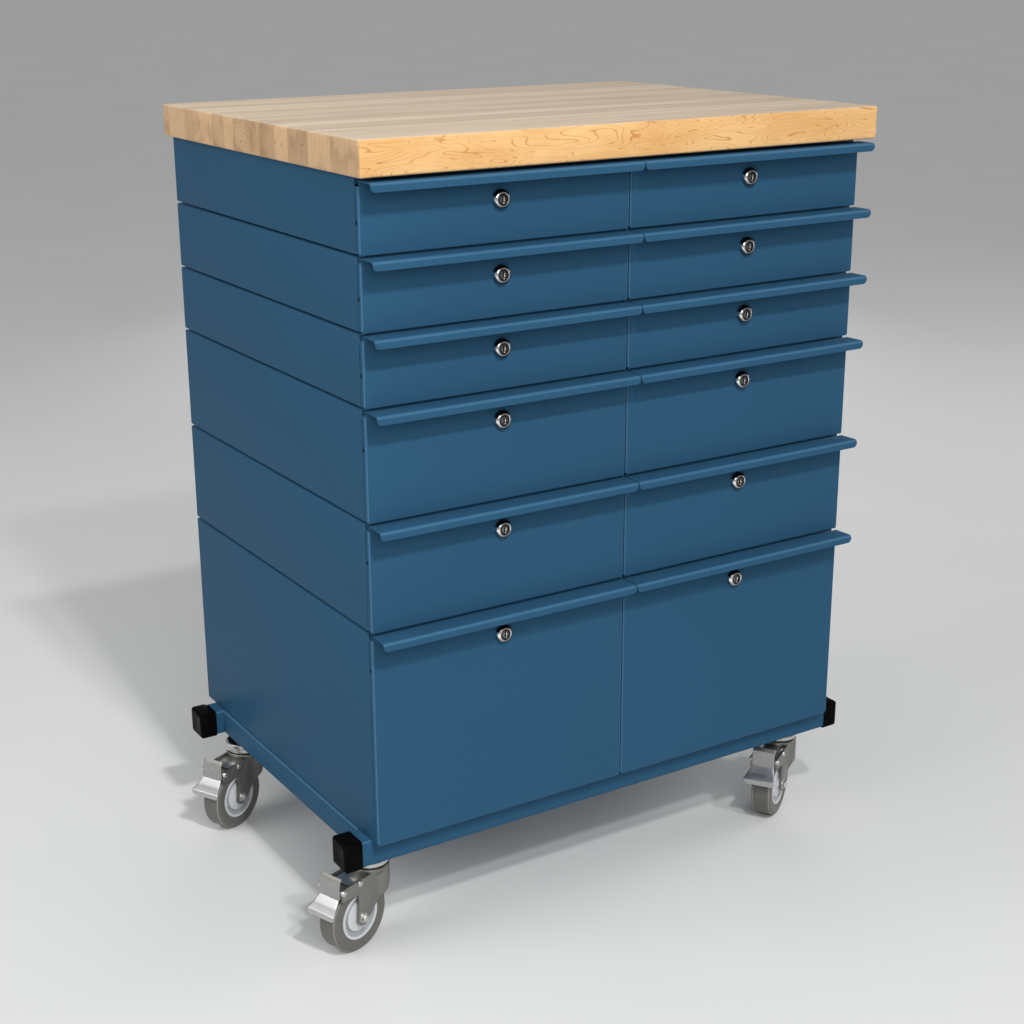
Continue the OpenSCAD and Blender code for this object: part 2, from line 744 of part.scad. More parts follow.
// A pressed fork with its crown, dished rim, skirt and lower race
module fork_shell() {
    lower_race_step = 4.5;
    dish_h = 8;
    dish_in = 3;
    difference() {
        union() {
            for (y0 = [-fork_outer, fork_half]) along_y(y0, fork_sheet) leg_outline();
            translate([0, 0, crown_z]) cylinder(r = crown_r, h = fork_sheet);
            translate([0, 0, lower_race_z - cut])
                cylinder(r = race_d / 2 - lower_race_step, h = lower_race_h + cut);
            translate([0, 0, crown_z - dish_h])
                difference() {
                    cylinder(r1 = crown_r - dish_in, r2 = crown_r, h = dish_h + cut);
                    translate([0, 0, -cut])
                        cylinder(r = crown_r - dish_in - fork_sheet, h = dish_h + 3 * cut);
                }
            fork_skirt();
        }
        translate([0, 0, crown_z - cut])
            cylinder(r = kingpin_d / 2 + pin_clear, h = fork_sheet + lower_race_h + 3 * cut);
        cross_pin(axle_x, axle_z, axle_d / 2 + hole_clear, fork_outer + cut);
        cross_pin(pivot_x, pivot_z, pedal_pin_d / 2 + hole_clear, fork_outer + cut);
        cross_pin(rivet_x, rivet_z, rivet_r + hole_clear, fork_outer + cut);
    }
}

// A bolt or rivet across the fork, with a head at both ends
module headed_pin(x, z, r, half, head_r, head_h, sides_of_head) {
    cross_pin(x, z, r, half + cut);
    for (y0 = [-half - head_h, half])
        translate([x, y0 + head_h, z])
            rotate([90, 0, 0]) cylinder(r = head_r, h = head_h, $fn = sides_of_head);
}

module caster_fork(c) {
    caster_place(c)
        color(zinc) {
            fork_shell();
            headed_pin(axle_x, axle_z, axle_d / 2, fork_outer + seam, axle_head_r, axle_head_h, 6);
            headed_pin(pivot_x, pivot_z, pedal_pin_d / 2, fork_outer + seam, rivet_head_r, rivet_head_h, 48);
            headed_pin(rivet_x, rivet_z, rivet_r, fork_outer + seam, rivet_head_r, rivet_head_h, 48);
        }
}

// A rubber tyre on a stepped hub
module caster_wheel(c) {
    r = wheel_d / 2;
    w = wheel_w / 2;
    shoulder = 4;
    bend = shoulder * 0.3;
    rim_step = 2;
    rim_w = w - rim_step;
    web_w = 4;
    rim_t = 4;
    cone_part = 0.57;
    cone_r = hub_r * cone_part;
    bearing_wall = 5;
    bearing_r = axle_d / 2 + bearing_wall;
    bore_r = axle_d / 2 + pin_clear;
    caster_place(c)
        translate([axle_x, 0, axle_z])
            rotate([90, 0, 0]) {
                color(rubber_grey)
                    rotate_extrude()
                        polygon([[hub_r + seam, -rim_w], [r - 2 * shoulder, -w], [r - shoulder, -w],
                            [r - bend, -w + bend], [r, -w + shoulder], [r, w - shoulder],
                            [r - bend, w - bend],
                            [r - shoulder, w], [r - 2 * shoulder, w], [hub_r + seam, rim_w]]);
                color("gainsboro")
                    rotate_extrude()
                        polygon([[bore_r, -hub_half], [bearing_r, -hub_half], [bearing_r, -rim_w],
                            [cone_r, -rim_w + rim_step], [cone_r + 1, -web_w], [hub_r - rim_t, -web_w],
                            [hub_r - rim_t + 1, -rim_w], [hub_r, -rim_w], [hub_r, rim_w],
                            [hub_r - rim_t + 1, rim_w], [hub_r - rim_t, web_w], [cone_r + 1, web_w],
                            [cone_r, rim_w - rim_step], [bearing_r, rim_w], [bearing_r, hub_half],
                            [bore_r, hub_half]]);
            }
}

// The inner line of a pedal's sheet, from the top lip to the foot, as steps from its pivot
plate_top = [-1.2, 15.6];
plate_low = [-4.6, -10.7];
plate_line = [[1, 21], plate_top, plate_low];
foot_line = [[-3.6, -3], plate_low, [-11.6, -17.2], [-20.6, -22.4], [-24.4, -26.2], [-24.8, -33]];

// The outward direction of one step of a line
function step_out(line, k) =
    let (step = line[k + 1] - line[k]) [step[1], -step[0]] / norm(step);
// The outward offset of one point of a line, mitred between its two steps
function point_out(line, k) =
    let (before = step_out(line, max(k - 1, 0)), after = step_out(line, min(k, len(line) - 2)))
        (before + after) / (1 + before * after);

// A strip of sheet on the outer side of a line
module strip(line, t) {
    outer = [for (k = [0:len(line) - 1]) line[k] + t * point_out(line, k)];
    polygon(concat(line, [for (k = [len(line) - 1:-1:0]) outer[k]]));
}

// The pedal's foot seen from the front: as wide as the plate, then flaring out
module flare_outline() {
    top = 5;
    flare_start = -14;
    flare_end = -24.5;
    low = -40;
    right = [[pedal_half, top], [pedal_half, flare_start],
        [pedal_foot_half, flare_end], [pedal_foot_half, low]];
    polygon(concat(right, [for (k = [len(right) - 1:-1:0]) [-right[k][0], right[k][1]]]));
}

// A stamped pedal: lip, plate, flared foot, two cheeks on the pivot pin and a brake shoe
module brake_pedal(c) {
    shoe_gap = 1;
    shoe_half = cheek_inner - shoe_gap;
    flare_reach = 50;
    into_sheet = pedal_sheet / 2 * step_out(plate_line, 1);
    caster_place(c)
        color(zinc)
            difference() {
                translate([pivot_x, 0, pivot_z]) {
                    along_y(-pedal_half, 2 * pedal_half) strip(plate_line, pedal_sheet);
                    intersection() {
                        along_y(-pedal_foot_half, 2 * pedal_foot_half) strip(foot_line, pedal_sheet);
                        translate([-flare_reach, 0, 0])
                            rotate([90, 0, 90])
                                linear_extrude(flare_reach) flare_outline();
                    }
                    for (y0 = [-pedal_half, cheek_inner])
                        along_y(y0, pedal_sheet)
                            polygon([[2, 12], plate_top + into_sheet, plate_low + into_sheet,
                                [3, -8], [5.5, -3], [5.5, 4]]);
                    along_y(-shoe_half, 2 * shoe_half)
                        polygon([plate_low + into_sheet, [-8.1, -13.5], [-3, -17], [0.5, -13], [1, -8]]);
                }
                cross_pin(pivot_x, pivot_z, pedal_pin_d / 2 + pin_clear, pedal_half + cut);
            }
}

worktop();
base_frame();
tube_end_caps();
frame_fasteners();
slide_outer_members();
caster_mounts();
for (i = [0:tiers - 1]) {
    housing_tier(i);
    for (side = sides) {
        drawer(i, side);
        slide_mid(i, side);
        lock_plug(i, side);
    }
}
for (c = [0:3]) {
    caster_fork(c);
    caster_wheel(c);
    brake_pedal(c);
}
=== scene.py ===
"""Looks of a mobile drawer cabinet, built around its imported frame.

Every size is in metres and every piece stands where the frame's nodes and joints put it.
"""
import json
import logging
import math
from dataclasses import dataclass
from enum import Enum
from typing import Any, Callable, Iterable, Sequence

import bmesh
import bpy
from mathutils import Matrix, Vector


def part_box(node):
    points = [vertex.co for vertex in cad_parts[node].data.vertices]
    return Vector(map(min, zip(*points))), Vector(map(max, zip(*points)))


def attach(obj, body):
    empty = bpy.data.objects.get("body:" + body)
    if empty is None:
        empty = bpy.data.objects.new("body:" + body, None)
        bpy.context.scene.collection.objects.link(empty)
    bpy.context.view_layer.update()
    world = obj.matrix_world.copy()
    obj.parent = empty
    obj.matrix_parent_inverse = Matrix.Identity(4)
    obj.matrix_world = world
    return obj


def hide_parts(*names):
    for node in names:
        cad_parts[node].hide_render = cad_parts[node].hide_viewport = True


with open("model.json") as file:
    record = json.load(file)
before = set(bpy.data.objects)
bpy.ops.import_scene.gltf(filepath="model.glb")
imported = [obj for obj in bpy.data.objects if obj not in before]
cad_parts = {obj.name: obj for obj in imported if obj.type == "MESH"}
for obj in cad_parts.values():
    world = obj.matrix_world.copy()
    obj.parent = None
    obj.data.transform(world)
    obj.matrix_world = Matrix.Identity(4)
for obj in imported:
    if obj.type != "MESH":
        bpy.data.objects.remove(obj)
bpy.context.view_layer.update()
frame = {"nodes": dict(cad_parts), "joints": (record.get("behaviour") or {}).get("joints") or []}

LOG = logging.getLogger("cabinet")
MM = 0.001
FULL_TURN = 2 * math.pi
QUARTER_TURN = math.pi / 2
TINY = 0.00002
FACING = 0.7
JOINTS: dict[str, dict[str, Any]] = {joint["name"]: joint for joint in frame["joints"]}
ROOT_BODY = "cabinet"
TIERS = 6

Obj = bpy.types.Object
Color = tuple[float, float, float]
Test = Callable[[Vector], bool]
EdgeTest = Callable[[bmesh.types.BMEdge], bool]


class Side(Enum):
    """The two stacks of drawers."""

    LEFT = "left"
    RIGHT = "right"


class Corner(Enum):
    """The four casters."""

    FRONT_LEFT = "front_left"
    FRONT_RIGHT = "front_right"
    REAR_LEFT = "rear_left"
    REAR_RIGHT = "rear_right"


class Slot(Enum):
    """The record's material slots."""

    PAINT = "blue_paint"
    MAPLE = "worktop_maple"
    ZINC = "zinc_steel"
    VINYL = "black_vinyl"
    RUBBER = "tyre_grey"
    CHROME = "lock_chrome"


class Value:
    """A shader socket that takes part in Python arithmetic."""

    def __init__(self, shader: "Shader", socket: bpy.types.NodeSocket) -> None:
        """Keeps the socket and the shader that owns it."""
        self.shader = shader
        self.socket = socket

    def _math(self, operation: str, first: Any, second: Any) -> "Value":
        """Adds one Math node on two values."""
        return self.shader.make("ShaderNodeMath", {"operation": operation}, {0: first, 1: second})

    def __add__(self, other: Any) -> "Value":
        """Sum."""
        return self._math("ADD", self, other)

    __radd__ = __add__

    def __sub__(self, other: Any) -> "Value":
        """Difference."""
        return self._math("SUBTRACT", self, other)

    def __rsub__(self, other: Any) -> "Value":
        """Difference from a number."""
        return self._math("SUBTRACT", other, self)

    def __mul__(self, other: Any) -> "Value":
        """Product."""
        return self._math("MULTIPLY", self, other)

    __rmul__ = __mul__

    def absolute(self) -> "Value":
        """Size without sign."""
        return self._math("ABSOLUTE", self, 0.0)

    def fold(self, period: float) -> "Value":
        """A wave that climbs and falls between 0 and period."""
        return self._math("PINGPONG", self, period)

    def wrap(self) -> "Value":
        """What is left after the whole number."""
        return self._math("FRACT", self, 0.0)

    def root(self) -> "Value":
        """Square root."""
        return self._math("SQRT", self, 0.0)

    def limit(self, low: float, high: float) -> "Value":
        """A smooth step from 0 at low to 1 at high."""
        return self.shader.make(
            "ShaderNodeMapRange",
            {"interpolation_type": "SMOOTHSTEP"},
            {"Value": self, "From Min": low, "From Max": high},
        )


class Shader:
    """A material's node tree around one Principled shader."""

    def __init__(self, name: str) -> None:
        """Starts a material with that name."""
        self.material = bpy.data.materials.new(name)
        self.material.use_nodes = True
        self.tree = self.material.node_tree
        self.surface = self.tree.nodes["Principled BSDF"]

    def make(self, kind: str, settings: dict[str, Any], inputs: dict[Any, Any], output: Any = 0) -> Value:
        """Adds one node.

        Args:
            kind: the node's type.
            settings: its properties, set first.
            inputs: a number, colour or Value for each named or numbered socket.
            output: the socket that the Value stands for.

        Returns:
            The node's output as a Value.
        """
        node = self.tree.nodes.new(kind)
        for name, value in settings.items():
            setattr(node, name, value)
        for key, value in inputs.items():
            if isinstance(value, Value):
                self.tree.links.new(value.socket, node.inputs[key])
            else:
                node.inputs[key].default_value = value
        return Value(self, node.outputs[output])

    def point(self) -> Value:
        """Object coordinates, in metres."""
        return self.make("ShaderNodeTexCoord", {}, {}, "Object")

    def stretched(self, point: Value, scale: Color, shift: Any = (0.0, 0.0, 0.0)) -> Value:
        """Coordinates stretched by a scale for each axis, then shifted."""
        scaled = self.make("ShaderNodeVectorMath", {"operation": "MULTIPLY"}, {0: point, 1: scale})
        return self.make("ShaderNodeVectorMath", {"operation": "ADD"}, {0: scaled, 1: shift})

    def noise(self, point: Value, scale: float, detail: float = 2.0, distortion: float = 0.0) -> Value:
        """Smooth noise between 0 and 1."""
        return self.make(
            "ShaderNodeTexNoise",
            {},
            {"Vector": point, "Scale": scale, "Detail": detail, "Distortion": distortion},
        )

    def mix(self, factor: Any, first: Any, second: Any) -> Value:
        """Two colours mixed."""
        colors = [(*c, 1.0) if isinstance(c, tuple) else c for c in (first, second)]
        return self.make(
            "ShaderNodeMix", {"data_type": "RGBA"}, {0: factor, 6: colors[0], 7: colors[1]}, 2
        )

    def shade(self, color: Any, amount: Value) -> Value:
        """A colour multiplied by a grey amount."""
        base = (*color, 1.0) if isinstance(color, tuple) else color
        return self.make(
            "ShaderNodeMix",
            {"data_type": "RGBA", "blend_type": "MULTIPLY"},
            {0: 1.0, 6: base, 7: amount},
            2,
        )

    def bump(self, height: Value, strength: float, distance: float) -> Value:
        """A bumped normal."""
        return self.make(
            "ShaderNodeBump", {}, {"Strength": strength, "Distance": distance, "Height": height}
        )

    def finish(self, **sockets: Any) -> bpy.types.Material:
        """Sets or links the surface's sockets, named with _ for a space, and returns the material."""
        for name, value in sockets.items():
            target = self.surface.inputs[name.replace("_", " ")]
            if isinstance(value, Value):
                self.tree.links.new(value.socket, target)
            elif isinstance(value, tuple):
                target.default_value = (*value, 1.0)
            else:
                target.default_value = value
        return self.material


@dataclass(frozen=True)
class PowderCoat:
    """Satin powder coat with a faint orange peel."""

    name: str = "blue_powder_coat"
    color: Color = (0.027, 0.089, 0.163)
    roughness: float = 0.40
    gloss: float = 0.018
    cloud_scale: float = 4.0
    speck_scale: float = 1400.0
    peel_scale: float = 520.0

    def material(self) -> bpy.types.Material:
        """Builds the paint."""
        shader = Shader(self.name)
        point = shader.point()
        cloud = shader.noise(point, self.cloud_scale, 3.0)
        speck = shader.noise(point, self.speck_scale, 1.0)
        peel = shader.noise(point, self.peel_scale, 2.0)
        tone = 0.90 + 0.12 * cloud + 0.08 * speck
        return shader.finish(
            Base_Color=shader.shade(self.color, tone),
            Roughness=self.roughness + 0.10 * cloud - 0.05 * speck,
            Normal=shader.bump(peel, 0.10, 0.0004),
            Specular_IOR_Level=self.gloss,
        )


@dataclass(frozen=True)
class Maple:
    """Oiled maple: flat-sawn along the edges, streaked on top, end grain at the ends."""

    honey: Color = (0.80, 0.50, 0.225)
    honey_dark: Color = (0.66, 0.35, 0.125)
    ring_brown: Color = (0.48, 0.19, 0.035)
    # The top's paler, greyer tan is painted sheen: the same maple drawn as if lit and reflecting from
    # above.
    top_sheen_tan: Color = (0.71, 0.58, 0.44)
    top_streak: Color = (0.43, 0.32, 0.23)
    end_tan: Color = (0.63, 0.42, 0.245)
    end_dark: Color = (0.29, 0.155, 0.07)
    knot: Color = (0.12, 0.06, 0.03)
    roughness: float = 0.48
    gloss: float = 0.16
    oil: float = 0.03
    oil_roughness: float = 0.35
    contours: float = 17.0
    rings_per_metre: float = 170.0
    pith_z: float = 1.02
    stave_shift: Color = (17.0, 9.0, 31.0)

    def material(self) -> bpy.types.Material:
        """Builds the wood; each stave's own number comes from the mesh attribute stave."""
        shader = Shader("oiled_maple")
        point = shader.point()
        stave = shader.make("ShaderNodeAttribute", {"attribute_name": "stave"}, {}, "Fac")
        shifts = {axis: stave * shift for axis, shift in enumerate(self.stave_shift)}
        offset = shader.make("ShaderNodeCombineXYZ", {}, shifts)
        normal = shader.make("ShaderNodeNewGeometry", {}, {}, "Normal")
        parts = {
            axis: shader.make("ShaderNodeSeparateXYZ", {}, {0: normal}, axis).absolute()
            for axis in ("X", "Y")
        }
        end_mask = parts["X"].limit(0.55, 0.80)
        edge_mask = parts["Y"].limit(0.45, 0.75)
        edge, edge_ring = self._edge(shader, point, offset)
        top = shader.shade(self._top(shader, point, offset), 0.86 + 0.24 * stave)
        end = shader.shade(self._end(shader, point, offset, stave), 0.82 + 0.32 * stave)
        long_grain = shader.mix(edge_mask, top, edge)
        wood = shader.mix(end_mask, long_grain, end)
        fibre = shader.noise(shader.stretched(point, (40.0, 500.0, 900.0)), 1.0, 3.0)
        height = fibre * 0.4 - edge_ring * edge_mask * 0.3
        return shader.finish(
            Base_Color=self._knots(shader, point, wood),
            Roughness=self.roughness + 0.16 * fibre + 0.10 * end_mask,
            Normal=shader.bump(height, 0.12, 0.0003),
            Specular_IOR_Level=self.gloss,
            Coat_Weight=self.oil,
            Coat_Roughness=self.oil_roughness,
        )

    def _edge(self, shader: Shader, point: Value, offset: Value) -> tuple[Value, Value]:
        """Flat-sawn grain: nested contour lines on honey wood, and the lines by themselves."""
        field = shader.noise(shader.stretched(point, (7.0, 6.0, 34.0), offset), 1.0, 1.6, 0.7)
        wiggle = shader.noise(shader.stretched(point, (60.0, 30.0, 150.0)), 1.0, 2.0)
        ring = (field * self.contours + wiggle * 0.35).wrap()
        line = ring.limit(0.80, 0.94) * (1.0 - ring.limit(0.95, 0.995))
        faint = shader.noise(shader.stretched(point, (12.0, 10.0, 24.0)), 1.0, 2.0).limit(0.28, 0.60)
        blush = shader.noise(shader.stretched(point, (5.0, 5.0, 16.0), offset), 1.0, 3.0)
        grain = shader.noise(shader.stretched(point, (60.0, 80.0, 900.0)), 1.0, 3.0)
        ground = shader.mix(blush.limit(0.34, 0.72), self.honey, self.honey_dark)
        fine = shader.shade(ground, 0.90 + 0.20 * grain)
        return shader.mix(line * (0.34 + 0.50 * faint), fine, self.ring_brown), line

    def _top(self, shader: Shader, point: Value, offset: Value) -> Value:
        """Long streaks along the staves, broad and pale ones under fine dark ones."""
        broad = shader.noise(shader.stretched(point, (2.2, 50.0, 20.0), offset), 1.0, 4.0, 0.3)
        thin = shader.noise(shader.stretched(point, (5.0, 330.0, 100.0), offset), 1.0, 2.0, 0.2)
        fine = shader.noise(shader.stretched(point, (9.0, 800.0, 200.0), offset), 1.0, 3.0)
        streak = broad.limit(0.46, 0.74) * 0.46 + thin.limit(0.54, 0.70) * 0.54
        ground = shader.mix(streak, self.top_sheen_tan, self.top_streak)
        return shader.shade(ground, 0.86 + 0.28 * fine)

    def _end(self, shader: Shader, point: Value, offset: Value, stave: Value) -> Value:
        """End grain with faint growth rings round a pith that differs for each stave, and dark flecks."""
        across = shader.make("ShaderNodeSeparateXYZ", {}, {0: point}, "Y") + (stave - 0.5) * 0.10
        up = shader.make("ShaderNodeSeparateXYZ", {}, {0: point}, "Z") - self.pith_z - stave * 0.10
        wander = shader.noise(shader.stretched(point, (30.0, 30.0, 30.0), offset), 1.0, 2.0)
        radius = (across * across + up * up).root() + wander * 0.012
        rings = (radius * self.rings_per_metre).fold(0.5).limit(0.28, 0.50)
        blotch = shader.noise(shader.stretched(point, (20.0, 22.0, 26.0), offset), 1.0, 3.0)
        fleck = shader.noise(shader.stretched(point, (90.0, 150.0, 90.0), offset), 1.0, 1.0)
        pore = shader.noise(point, 1300.0, 1.0)
        streak = shader.noise(shader.stretched(point, (60.0, 420.0, 24.0), offset), 1.0, 3.0)
        stain = blotch.limit(0.44, 0.76) * 0.46 + streak.limit(0.50, 0.78) * 0.30
        dark = rings * 0.20 + stain + fleck.limit(0.68, 0.78) * 0.60
        ground = shader.mix(dark, self.end_tan, self.end_dark)
        return shader.shade(ground, 0.84 + 0.30 * pore)

    def _knots(self, shader: Shader, point: Value, wood: Value) -> Value:
        """A few pin knots, in some of the cells of a coarse net."""
        net = {"Vector": shader.stretched(point, (0.6, 1.0, 1.0)), "Scale": 26.0}
        distance = shader.make("ShaderNodeTexVoronoi", {}, net, "Distance")
        cell = shader.make("ShaderNodeTexVoronoi", {}, net, "Color")
        chosen = shader.make("ShaderNodeSeparateColor", {}, {0: cell}, 0).limit(0.80, 0.81)
        dot = (1.0 - distance.limit(0.020, 0.055)) * chosen
        return shader.mix(dot * 0.75, wood, self.knot)


@dataclass(frozen=True)
class Plating:
    """Bright plating on steel, with the faint mottle of a plated sheet."""

    name: str
    color: Color
    roughness: float
    mottle: float = 0.10
    grain_scale: float = 260.0
    painted_dark_reflection: float = 0.0

    def material(self) -> bpy.types.Material:
        """Builds the metal; the painted dark reflection, when set, darkens what looks up, down or right, as
        a polished part mirrors a dark ledge.
        """
        shader = Shader(self.name)
        point = shader.point()
        cloud = shader.noise(point, 55.0, 4.0, 0.4)
        grain = shader.noise(point, self.grain_scale, 3.0)
        tone = 1.0 - self.mottle + 2.0 * self.mottle * cloud
        # Painted reflection: faces looking up, down or right are darkened in the colour itself, as dark
        # surroundings would show in polished metal.
        if self.painted_dark_reflection:
            normal = shader.make("ShaderNodeNewGeometry", {}, {}, "Normal")
            rise = shader.make("ShaderNodeSeparateXYZ", {}, {0: normal}, "Z")
            right = shader.make("ShaderNodeSeparateXYZ", {}, {0: normal}, "X")
            tone = tone * (1.0 - self.painted_dark_reflection * rise.limit(0.26, 0.44))
            tone = tone * (1.0 - 0.60 * rise.limit(-0.05, -0.30))
            tone = tone * (1.0 - 0.70 * right.limit(-0.30, 0.06))
        return shader.finish(
            Base_Color=shader.shade(self.color, tone),
            Metallic=1.0,
            Roughness=self.roughness * 0.75 + self.roughness * 0.5 * cloud,
            Normal=shader.bump(grain, 0.05, 0.0002),
        )


@dataclass(frozen=True)
class Moulding:
    """A moulded or dipped plastic or rubber."""

    name: str
    color: Color
    roughness: float
    mottle: float = 0.08
    bump: float = 0.06
    bump_scale: float = 400.0
    gloss: float = 0.4

    def material(self) -> bpy.types.Material:
        """Builds the plastic."""
        shader = Shader(self.name)
        point = shader.point()
        cloud = shader.noise(point, 40.0, 3.0)
        grain = shader.noise(point, self.bump_scale, 2.0)
        tone = 1.0 - self.mottle + 2.0 * self.mottle * cloud
        return shader.finish(
            Base_Color=shader.shade(self.color, tone),
            Roughness=self.roughness * 0.85 + self.roughness * 0.3 * grain,
            Normal=shader.bump(grain, self.bump, 0.0003),
            Specular_IOR_Level=self.gloss,
        )


class Finishes:
    """All the materials of the cabinet, made once."""

    def __init__(self) -> None:
        """Makes the materials."""
        self.paint = PowderCoat().material()
        # A brighter copy of the blue coat for bends and edges: a painted highlight.
        highlight_blue = (0.038, 0.124, 0.222)
        self.bend_highlight_paint = PowderCoat("blue_coat_painted_bend_highlight", highlight_blue, 0.34, 0.30).material()
        self.maple = Maple().material()
        self.glue = Moulding("glue_line", (0.16, 0.085, 0.04), 0.6).material()
        self.zinc = Plating("bright_zinc", (0.62, 0.62, 0.60), 0.36).material()
        self.fork_zinc = Plating("fork_zinc", (0.27, 0.265, 0.245), 0.44).material()
        self.pedal_zinc = Plating("pedal_zinc", (0.42, 0.42, 0.41), 0.40).material()
        # A brighter copy of the pedal's zinc for its foot: a painted highlight.
        self.foot_highlight_zinc = Plating("foot_highlight_zinc", (0.55, 0.55, 0.545), 0.38).material()
        self.slide_zinc = Plating("slide_zinc", (0.55, 0.56, 0.57), 0.38).material()
        # Polished chrome with painted dark reflections on its top, bottom and right.
        self.chrome = Plating("polished_chrome", (0.95, 0.94, 0.93), 0.09, 0.03, painted_dark_reflection=0.96).material()
        self.plug = Plating("lock_plug_steel", (0.09, 0.09, 0.09), 0.28, 0.05).material()
        self.keyway = Plating("keyway_steel", (0.22, 0.215, 0.21), 0.25, 0.03).material()
        # Bright steel for small bits that stand for glints: a painted highlight.
        self.glint = Plating("painted_glint_steel", (0.95, 0.95, 0.94), 0.22, 0.02).material()
        # Near-black for the lock's groove and key slot: painted shade in the recesses.
        self.dark = Moulding("painted_recess_shade", (0.010, 0.010, 0.011), 0.5).material()
        black = (0.003, 0.003, 0.003)
        self.vinyl = Moulding("black_vinyl", black, 0.08, 0.05, 0.05, 160.0, 0.015).material()
        self.tyre = Moulding("grey_tyre", (0.130, 0.125, 0.116), 0.46, 0.10).material()
        # A paler grey on the tyre's mould-line ridge: a painted highlight.
        self.tyre_line_highlight = Moulding("tyre_mould_line_highlight", (0.34, 0.325, 0.30), 0.5).material()
        self.hub = Moulding("pale_hub", (0.60, 0.615, 0.63), 0.38, 0.04).material()
        # A darker grey for the hub's recess: painted shade in the hollow.
        self.hub_recess_shade = Moulding("hub_recess_shade", (0.36, 0.38, 0.395), 0.45, 0.05).material()
        self.shoe = Moulding("brake_shoe", (0.03, 0.03, 0.03), 0.6).material()


@dataclass(frozen=True)
class Bend:
    """One corner of an outline, with its radius."""

    u: float
    v: float
    radius: float = 0.0


def outline(bends: Sequence[Bend], steps: int = 5, closed: bool = False) -> list[tuple[float, float]]:
    """Works out an outline whose corners are arcs.

    Args:
        bends: the corners in order.
        steps: pieces of each arc.
        closed: whether the last corner joins the first.

    Returns:
        The points of the outline.
    """
    points: list[tuple[float, float]] = []
    count = len(bends)
    for index, bend in enumerate(bends):
        here = Vector((bend.u, bend.v))
        at_end = not closed and index in (0, count - 1)
        if at_end or bend.radius <= 0:
            points.append((here.x, here.y))
            continue
        before = bends[index - 1]
        after = bends[(index + 1) % count]
        back = (Vector((before.u, before.v)) - here).normalized()
        on = (Vector((after.u, after.v)) - here).normalized()
        half = back.angle(on) / 2
        middle = here + (back + on).normalized() * (bend.radius / math.sin(half))
        start = here + back * (bend.radius / math.tan(half)) - middle
        end = here + on * (bend.radius / math.tan(half)) - middle
        sweep = start.angle_signed(end)
        for step in range(steps + 1):
            turned = start.copy()
            turned.rotate(Matrix.Rotation(-sweep * step / steps, 2))
            points.append((middle.x + turned.x, middle.y + turned.y))
    return points


def post(radius: float, start: float, end: float, rounding: float = 0.0) -> list[Bend]:
    """Half the outline of a round post, with its far rim rounded."""
    return [Bend(0, start), Bend(radius, start), Bend(radius, end, rounding), Bend(0, end)]


